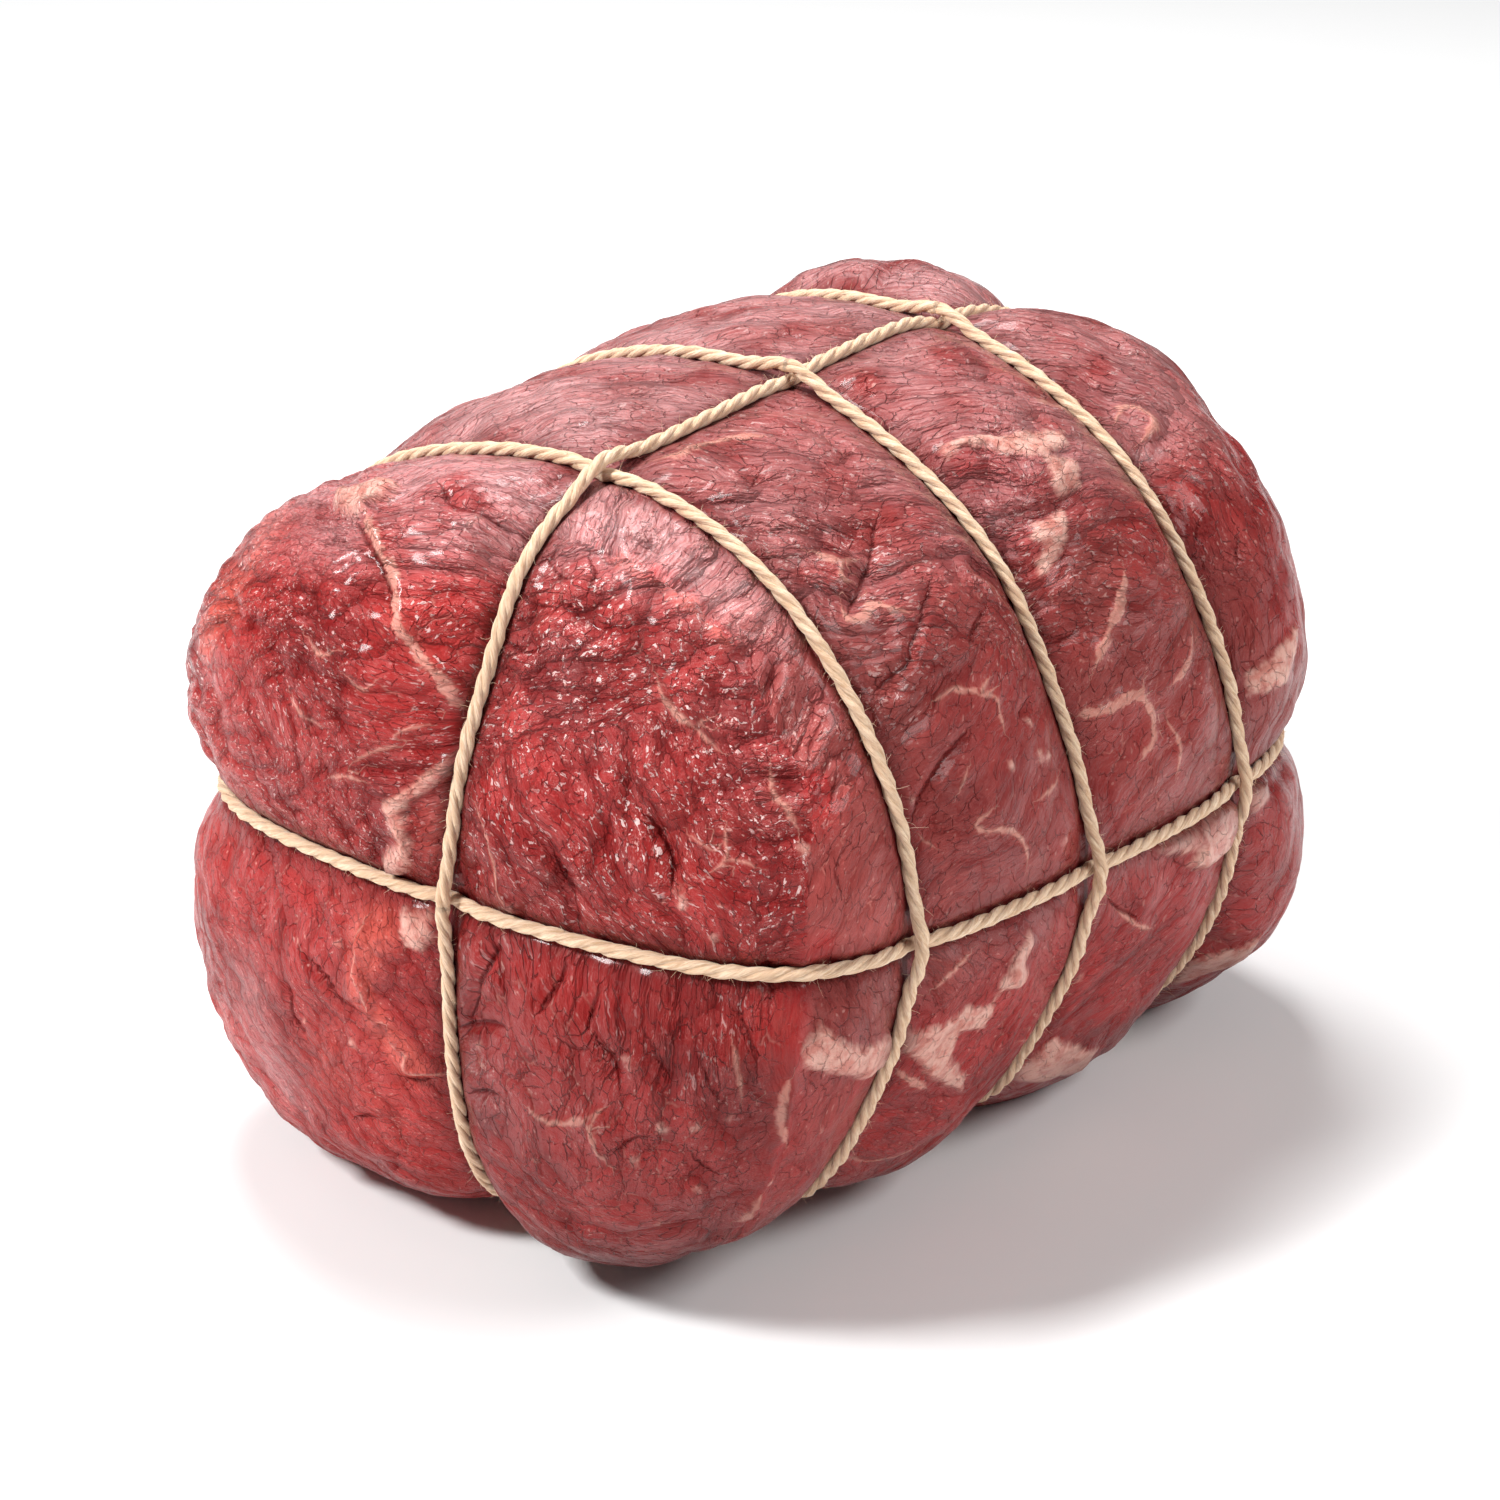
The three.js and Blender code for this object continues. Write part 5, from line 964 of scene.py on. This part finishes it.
def meat_material():
    m = Nodes("raw_beef")
    where = m.attr("place", True)
    broad = m.attr("broad")
    mid = m.noise(where, 0.42, 3.0, 0.6)
    second = m.math("GREATER_THAN", m.math("MULTIPLY_ADD", mid, 0.8, m.attr("turn")), 0.9)
    pick = m.add("ShaderNodeMix", data_type="VECTOR")
    m.put(second, pick.inputs[0])
    m.put(m.attr("flow", True), pick.inputs[4])
    m.put(m.attr("flow2", True), pick.inputs[5])
    v = pick.outputs[1]
    crinkle_, grain_ = m.attr("crinkle"), m.attr("grain")
    wrinkle = m.noise(m.stretch(v, (0.4, 1.0, 1.0)), 0.75, 2.0, 0.55, flat=True)

    # bundles of muscle bulge between sharp creases
    jagged = m.vec("ADD", v, m.math("MULTIPLY", m.math("SUBTRACT", wrinkle, 0.5), 1.5))
    bundle = m.stretch(jagged, (0.46, 1.0, 1.0))
    edge = m.cells(bundle, 0.20, "DISTANCE_TO_EDGE", flat=True).outputs["Distance"]
    reach = m.cells(bundle, 0.20, "F1", flat=True).outputs["Distance"]
    pillow = m.math("SUBTRACT", 1.0, m.math("MULTIPLY", reach, reach))
    one = m.cells(m.stretch(jagged, (0.5, 1.0, 1.0)), 0.62, "F1", flat=True).outputs["Distance"]
    small_dome = m.math("SUBTRACT", 1.0, m.math("MULTIPLY", one, one))
    strands = m.noise(m.stretch(v, (0.07, 1.0, 1.0)), 2.2, 2.0, 0.6, flat=True)
    grit = m.noise(m.stretch(v, (0.7, 1.0, 1.0)), 3.4, 1.0, 0.6, flat=True)
    fine = m.cells(m.stretch(jagged, (0.55, 1.0, 1.0)), 0.50, "DISTANCE_TO_EDGE", flat=True).outputs["Distance"]
    crack = m.math("MULTIPLY", m.ramp(fine, 0.055, 0.0), m.math("MULTIPLY", m.ramp(wrinkle, 0.40, 0.56), m.math("MULTIPLY", crinkle_, 1.7, clamp=True)), clamp=True)
    glint_chip_noise = m.noise(m.stretch(jagged, (0.5, 1.0, 1.0)), 1.05, 2.0, 0.6, flat=True)
    crease = m.math("MULTIPLY", m.ramp(edge, 0.09, 0.0), m.math("MULTIPLY", m.ramp(mid, 0.42, 0.62), crinkle_))

    # ---- colour
    colour = m.blend(m.ramp(broad, 0.3, 0.7), (0.27, 0.009, 0.010), (0.37, 0.020, 0.020))
    tone_ = m.attr("tone")
    colour = m.blend(m.ramp(tone_, 0.0, -0.9), colour, (0.24, 0.040, 0.036))
    colour = m.blend(m.ramp(tone_, 0.25, 1.2), colour, (0.52, 0.075, 0.055))
    colour = m.blend(m.math("MULTIPLY", m.ramp(m.math("ADD", mid, broad), 0.95, 0.72), 0.5), colour, (0.15, 0.009, 0.011))
    colour = m.blend(m.math("MULTIPLY", m.ramp(strands, 0.35, 0.7), m.math("MULTIPLY", grain_, 0.35)), colour, (0.46, 0.080, 0.068))
    # painted shade: the valleys between the bundles are made darker
    colour = m.blend(m.math("MULTIPLY", m.ramp(pillow, 0.80, 0.45), m.math("MULTIPLY", crinkle_, 0.6), clamp=True), colour, (0.19, 0.004, 0.005))
    # painted highlight: the crests of the lumps are made lighter and pinker in a fine grain
    crest = m.math("MULTIPLY", m.ramp(m.math("MULTIPLY", pillow, small_dome), 0.55, 0.95), crinkle_)
    colour = m.blend(m.math("MULTIPLY", crest, m.ramp(grit, 0.42, 0.62, 0.05, 0.22)), colour, (0.60, 0.13, 0.12))
    specks_and_sparkle = m.math("MULTIPLY", m.ramp(grit, 0.56, 0.62), m.math("MULTIPLY", crest, m.ramp(mid, 0.38, 0.54)))
    glint_chips = m.math("MULTIPLY", m.ramp(glint_chip_noise, 0.635, 0.665), m.math("MULTIPLY", m.ramp(m.math("MULTIPLY", pillow, small_dome), 0.35, 0.7), m.math("MULTIPLY", m.ramp(crinkle_, 0.34, 0.72), m.ramp(mid, 0.34, 0.46))), clamp=True)
    dome_top_glints = m.math("MULTIPLY", m.ramp(one, 0.15, 0.07), m.math("MULTIPLY", m.ramp(mid, 0.48, 0.58), crinkle_))
    line = m.math("MULTIPLY", m.ramp(edge, 0.05, 0.0), m.math("MULTIPLY", m.ramp(broad, 0.52, 0.60), m.ramp(mid, 0.45, 0.6)))
    # painted shade in the creases between the bundles
    colour = m.blend(m.math("MULTIPLY", crease, 0.85, clamp=True), colour, (0.15, 0.003, 0.004))
    # painted shade in the hollows between the big lumps
    colour = m.blend(m.math("MULTIPLY", m.attr("hollow"), 0.45), colour, (0.16, 0.004, 0.005))
    # painted shade in the fine cracks
    colour = m.blend(m.math("MULTIPLY", crack, 0.68), colour, (0.14, 0.004, 0.005))
    colour = m.blend(m.math("MULTIPLY", line, 0.4), colour, (0.62, 0.22, 0.18))
    # painted highlights: pale dots on the tops of the small domes
    colour = m.blend(m.math("MULTIPLY", dome_top_glints, 0.75, clamp=True), colour, (0.80, 0.46, 0.40))
    # pale specks on the crests: partly specks of fat, partly painted wet sparkle
    colour = m.blend(m.math("MULTIPLY", specks_and_sparkle, m.ramp(crinkle_, 0.32, 0.75, 0.06, 0.34), clamp=True), colour, (0.86, 0.58, 0.55))
    # painted glints: small white chips on the lumps' crests, strongest where the glint mask is high
    colour = m.blend(m.math("MULTIPLY", glint_chips, m.math("MULTIPLY", m.attr("glint"), 0.85)), colour, (0.90, 0.66, 0.63))

    # ---- skin-like film partly real and partly painted sheen, fat, seams and splits (the splits with painted shade)
    # pale film colour: partly real film, partly painted sheen on the tops
    film_and_sheen_share = m.math("MULTIPLY", m.attr("film_and_sheen"), m.ramp(strands, 0.25, 0.75, 0.30, 1.0))
    colour = m.blend(film_and_sheen_share, colour, (0.62, 0.33, 0.33))
    ragged = m.math("MULTIPLY", m.math("SUBTRACT", mid, 0.5), 2.4)
    fat_share = m.ramp(m.math("ADD", m.attr("fat"), ragged), -0.6, 1.2)
    fat_colour = m.blend(m.ramp(mid, 0.35, 0.6), (0.62, 0.24, 0.19), (0.78, 0.45, 0.37))
    colour = m.blend(m.math("MULTIPLY", fat_share, 0.88), colour, fat_colour)
    bend = m.math("MULTIPLY", m.math("SUBTRACT", wrinkle, 0.5), 0.55)

    def stroke(name, width, soft):
        off = m.math("ABSOLUTE", m.math("ADD", m.attr(name), bend))
        return m.ramp(m.math("SUBTRACT", width, off), -soft, soft)

    pale_width = m.math("MULTIPLY", m.attr("pale_half"), m.ramp(mid, 0.35, 0.65, 0.4, 1.3))
    pale_share = stroke("pale", pale_width, 0.35)
    halo = stroke("pale", m.attr("pale_half"), 1.5)
    colour = m.blend(m.math("MULTIPLY", halo, 0.30), colour, (0.60, 0.14, 0.11))
    colour = m.blend(m.math("MULTIPLY", pale_share, 0.70), colour, m.blend(wrinkle, (0.62, 0.22, 0.17), (0.78, 0.44, 0.35)))
    # painted shade inside the splits
    split_share = stroke("split", m.attr("split_half"), 0.3)
    colour = m.blend(m.math("MULTIPLY", split_share, 0.72), colour, (0.12, 0.002, 0.003))
    colour = m.blend(m.math("MULTIPLY", m.attr("shade"), 0.85), colour, (0.09, 0.005, 0.006))

    # the value field scales the colour, with painted light on the front end's near upper lobe and painted shade on the
    # undersides
    colour = m.blend(1.0, colour, m.attr("value"), "MULTIPLY")

    # ---- relief, in millimetres
    calm = m.math("SUBTRACT", 1.0, m.math("MULTIPLY", fat_share, 0.6))
    rough_relief = m.math("MULTIPLY", crinkle_, calm)
    h = m.math("MULTIPLY", m.math("MULTIPLY", m.math("SUBTRACT", pillow, 0.8), rough_relief), 5.2)
    h = m.math("MULTIPLY_ADD", m.math("MULTIPLY", m.math("SUBTRACT", small_dome, 0.8), rough_relief), 0.5, h)
    h = m.math("MULTIPLY_ADD", m.math("MULTIPLY", m.math("SUBTRACT", wrinkle, 0.5), m.math("ADD", rough_relief, 0.25)), 0.6, h)
    h = m.math("MULTIPLY_ADD", m.math("MULTIPLY", grit, m.math("ADD", crinkle_, 0.25)), 0.15, h)
    h = m.math("MULTIPLY_ADD", m.math("MULTIPLY", strands, grain_), 0.20, h)
    h = m.math("MULTIPLY_ADD", m.math("ADD", fat_share, pale_share), 0.20, h)
    h = m.math("MULTIPLY_ADD", split_share, -0.5, h)
    h = m.math("MULTIPLY_ADD", crack, -0.5, h)
    h = m.math("MULTIPLY_ADD", glint_chips, 0.10, h)
    m.set(Normal=m.bump(h, MM))
    wet = m.math("MULTIPLY", m.ramp(edge, 0.02, 0.16, 0.25, 1.0), m.ramp(m.math("ADD", m.attr("hollow"), split_share), 0.0, 1.0, 0.36, 0.06))
    wet = m.math("MULTIPLY", wet, m.math("SUBTRACT", 1.0, m.attr("dry")))
    m.set(Base_Color=colour, Roughness=m.ramp(mid, 0.3, 0.7, 0.34, 0.5), Coat_Weight=wet)
    s = m.shader.inputs
    s["Specular IOR Level"].default_value = 0.38
    s["Specular Tint"].default_value = (1.0, 0.48, 0.45, 1)
    s["Coat Roughness"].default_value = 0.11
    s["Coat IOR"].default_value = 1.33
    s["Subsurface Weight"].default_value = 0.10
    s["Subsurface Radius"].default_value = (1.0, 0.25, 0.18)
    s["Subsurface Scale"].default_value = 0.0014
    return m.material


meat = new_object("meat", part * MM, QUADS, [meat_material()])
chart = meat.data.uv_layers.new(name="OFBake")
chart.data.foreach_set("uv", CHART.astype(np.float32).ravel())
for name, values in dict(value=value, dry=dry, glint=glint, broad=broad, flow=flow, flow2=flow2, place=plain, turn=turn, crinkle=np.clip(crinkle, 0, 1.3) * bare, grain=np.clip(grain, 0, 1), tone=tone, film_and_sheen=np.clip(film_and_sheen, 0, 1),
                         fat=fat, pale=pale, pale_half=pale_half, split=split, split_half=split_half, hollow=np.clip(hollow * crinkle, 0, 1), shade=np.clip(shade, 0, 1)).items():
    paint(meat, name, values)
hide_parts("beef_joint")
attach(meat, "root")


# ---------------------------------------------------------------- twine
PLY_PITCH, PLY_OUT, PLY_R, PLY_SIDES = 12.4, 0.48, 0.67, 10


def twine_material():
    m = Nodes("butchers_twine")
    along = m.attr("strand", True)
    streak = m.noise(m.stretch(along, (0.45, 3.2, 3.2)), 1.0, 4.0, 0.7)
    blotch = m.noise(m.stretch(along, (0.25, 0.6, 0.6)), 1.0, 2.0)
    colour = m.blend(m.ramp(streak, 0.32, 0.66), (0.68, 0.42, 0.25), (0.97, 0.74, 0.54))
    colour = m.blend(m.math("MULTIPLY", m.ramp(blotch, 0.42, 0.65), 0.5), colour, (0.80, 0.53, 0.34))
    # painted shade in the grooves between the plies
    colour = m.blend(m.math("MULTIPLY", m.attr("groove_shade"), 0.22), colour, (0.24, 0.14, 0.07))
    fibre = m.noise(m.stretch(along, (0.9, 7.0, 7.0)), 1.0, 2.0, 0.6)
    h = m.math("MULTIPLY_ADD", fibre, 0.14, m.math("MULTIPLY", streak, 0.22))
    m.set(Base_Color=colour, Roughness=0.85, Normal=m.bump(h, MM))
    s = m.shader.inputs
    s["Specular IOR Level"].default_value = 0.3
    s["Sheen Weight"].default_value = 0.15
    s["Subsurface Weight"].default_value = 0.1
    s["Subsurface Radius"].default_value = (1.0, 0.7, 0.4)
    s["Subsurface Scale"].default_value = 0.0006
    return m.material


TWINE_LOOK = twine_material()
rng = np.random.default_rng(7)


def frames(line, out_way):
    t = unit(np.roll(line, -1, 0) - np.roll(line, 1, 0))
    n = unit(out_way - t * (out_way * t).sum(1)[:, None])
    return t, n, np.cross(t, n)


def make_twine(name, path, number):
    line, out_way, total = path
    t, n, b = frames(line, out_way)
    steps = len(line)
    turns = round(total / PLY_PITCH)
    turn_angle = -2 * math.pi * turns * np.arange(steps) / steps
    travel = total * np.arange(steps) / steps
    verts, faces, strand, groove_shade = [], [], [], []
    for ply in range(3):
        a = turn_angle + 2 * math.pi * ply / 3
        off = PLY_OUT * (1 + 0.05 * np.sin(travel * 0.9 + ply * 2.1 + number))
        centre = line + n * (off * np.cos(a))[:, None] + b * (off * np.sin(a))[:, None]
        out = n * np.cos(a)[:, None] + b * np.sin(a)[:, None]
        side = -n * np.sin(a)[:, None] + b * np.cos(a)[:, None]
        width = PLY_R * (1 + 0.07 * np.sin(travel * 0.53 + ply * 1.7 + number * 2) + 0.04 * np.sin(travel * 1.9 + ply))
        first = ply * steps * PLY_SIDES
        for s in range(PLY_SIDES):
            w = 2 * math.pi * s / PLY_SIDES
            rough = width * (1 + 0.045 * rng.normal(size=steps))
            verts.append(centre + out * (rough * math.cos(w))[:, None] + side * (rough * math.sin(w))[:, None] * 1.03)
            # round the strand the pattern closes on itself, so it is laid on a ring
            strand.append(np.stack([travel, np.full(steps, 0.57 * math.cos(w)), np.full(steps, 0.57 * math.sin(w) + ply * 5 + number * 17)], -1))
            # weight of the painted shade, highest on each ply's inward side where it meets the others
            groove_shade.append(np.full(steps, min(1.0, max(0.0, (0.35 - math.cos(w)) / 0.9))))
        k = np.arange(steps)
        for s in range(PLY_SIDES):
            s2 = (s + 1) % PLY_SIDES
            a0, a1 = first + s * steps + k, first + s2 * steps + k
            b0, b1 = first + s * steps + (k + 1) % steps, first + s2 * steps + (k + 1) % steps
            faces.append(np.stack([a0, a1, b1, b0], -1))
    return np.concatenate(verts), np.concatenate(faces), np.concatenate(strand), np.concatenate(groove_shade)


def make_hairs(path, number, per_mm):
    """Short loose fibres: three-sided needles that curl away from the twine."""
    line, out_way, total = path
    t, n, b = frames(line, out_way)
    many = int(total * per_mm)
    verts, faces = [], []
    for h in range(many):
        k = rng.integers(len(line))
        a = rng.uniform(-1.9, 1.9)
        root = line[k] + (n[k] * math.cos(a) + b[k] * math.sin(a)) * 1.1
        away_ = n[k] * math.cos(a) + b[k] * math.sin(a)
        way = unit(away_ * rng.uniform(0.25, 1.0) + t[k] * rng.uniform(-1, 1) + b[k] * rng.uniform(-0.4, 0.4))
        long_ = rng.uniform(0.5, 1.5) if rng.random() < 0.9 else rng.uniform(1.5, 3.2)
        segs = 3 if long_ < 1.5 else 5
        curl = unit(rng.normal(size=3)) * rng.uniform(0.2, 0.9)
        p, pts = root - away_ * 0.25, []
        for s in range(segs + 1):
            pts.append(p)
            p = p + way * (long_ + 0.25) / segs
            way = unit(way + curl * (0.5 if long_ < 1.5 else 0.55))
        thick = rng.uniform(0.022, 0.04)
        first = base_count[0]
        ring = []
        for s, p in enumerate(pts):
            w = unit(pts[min(s + 1, segs)] - pts[max(s - 1, 0)])
            u_ = unit(np.cross(w, [0.31, 0.52, 0.79]))
            v_ = np.cross(w, u_)
            r = thick * (1 - 0.6 * s / segs)
            for c in range(3):
                g = 2 * math.pi * c / 3
                ring.append(p + (u_ * math.cos(g) + v_ * math.sin(g)) * r)
        verts.append(np.array(ring))
        for s in range(segs):
            for c in range(3):
                c2 = (c + 1) % 3
                faces.append((first + 3 * s + c, first + 3 * s + c2, first + 3 * s + 3 + c2, first + 3 * s + 3 + c))
        faces.append((first + 2, first + 1, first))
        faces.append((first + 3 * segs, first + 3 * segs + 1, first + 3 * segs + 2))
        base_count[0] += len(ring)
    return np.concatenate(verts), faces


for number, (node, path) in enumerate(PATHS.items()):
    verts, faces, strand, groove_shade = make_twine(node, path, number)
    base_count = [len(verts)]
    hv, hf = make_hairs(path, number, 1.2)
    faces = [tuple(f) for f in faces] + hf
    all_verts = np.concatenate([verts, hv])
    obj = new_object(node.replace("twine", "string"), (all_verts + SHIFT) * MM, faces, [TWINE_LOOK])
    paint(obj, "strand", np.concatenate([strand, np.stack([hv[:, 0] * 0.3, np.full(len(hv), 0.3), hv[:, 2] * 0.1], -1)]))
    paint(obj, "groove_shade", np.concatenate([groove_shade, np.full(len(hv), -0.3)]))
    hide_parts(node)
    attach(obj, "root")

# ---------------------------------------------------------------- the studio
floor_look = Nodes("floor_white")
floor_look.set(Base_Color=(0.93, 0.93, 0.93), Roughness=0.9)
floor_look.shader.inputs["Specular IOR Level"].default_value = 0.1
size = 4.0
floor = new_object("studio_floor", np.array([(-size, -size, -1e-4), (size, -size, -1e-4), (size, size, -1e-4), (-size, size, -1e-4)], float), np.array([[0, 1, 2, 3]]), [floor_look.material], False)

world = bpy.data.worlds.new("studio")
world.use_nodes = True
world.node_tree.nodes["Background"].inputs[0].default_value = (1.0, 1.0, 1.0, 1)
world.node_tree.nodes["Background"].inputs[1].default_value = 0.14
bpy.context.scene.world = world


def area_light(name, at, aim, size_x, size_y, watts, colour=(1, 1, 1)):
    lamp = bpy.data.lights.new(name, "AREA")
    lamp.shape, lamp.size, lamp.size_y, lamp.energy, lamp.color = "RECTANGLE", size_x, size_y, watts, colour
    obj = bpy.data.objects.new(name, lamp)
    at, aim = Vector(at), Vector(aim)
    obj.location = at
    obj.rotation_euler = (aim - at).to_track_quat("-Z", "Y").to_euler()
    bpy.context.scene.collection.objects.link(obj)


MIDDLE = (0.0, 0.0, 0.07)
area_light("key_upper_left", (-0.75, 0.38, 0.90), MIDDLE, 0.24, 0.24, 14.5)
area_light("top_back", (0.18, 0.32, 1.05), MIDDLE, 0.36, 0.28, 8.5)
area_light("right_fill", (0.35, -1.0, 1.0), MIDDLE, 0.6, 0.5, 10)

# ---------------------------------------------------------------- camera
eye = (CAM_SX * RIGHT + CAM_SY * UP + CAM_DIST * BACK + SHIFT) * MM
cam = bpy.data.cameras.new("camera")
cam.sensor_fit, cam.sensor_width, cam.sensor_height = "HORIZONTAL", 36.0, 36.0
cam.lens = CAM_F / 1500 * 36
cam.clip_start, cam.clip_end = 0.01, 20
camera = bpy.data.objects.new("camera", cam)
camera.matrix_world = Matrix(((RIGHT[0], UP[0], BACK[0], eye[0]), (RIGHT[1], UP[1], BACK[1], eye[1]), (RIGHT[2], UP[2], BACK[2], eye[2]), (0, 0, 0, 1)))
bpy.context.scene.collection.objects.link(camera)
bpy.context.scene.camera = camera

view = bpy.context.scene.view_settings
view.view_transform, view.look, view.exposure, view.gamma = "Standard", "None", 0.0, 1.0
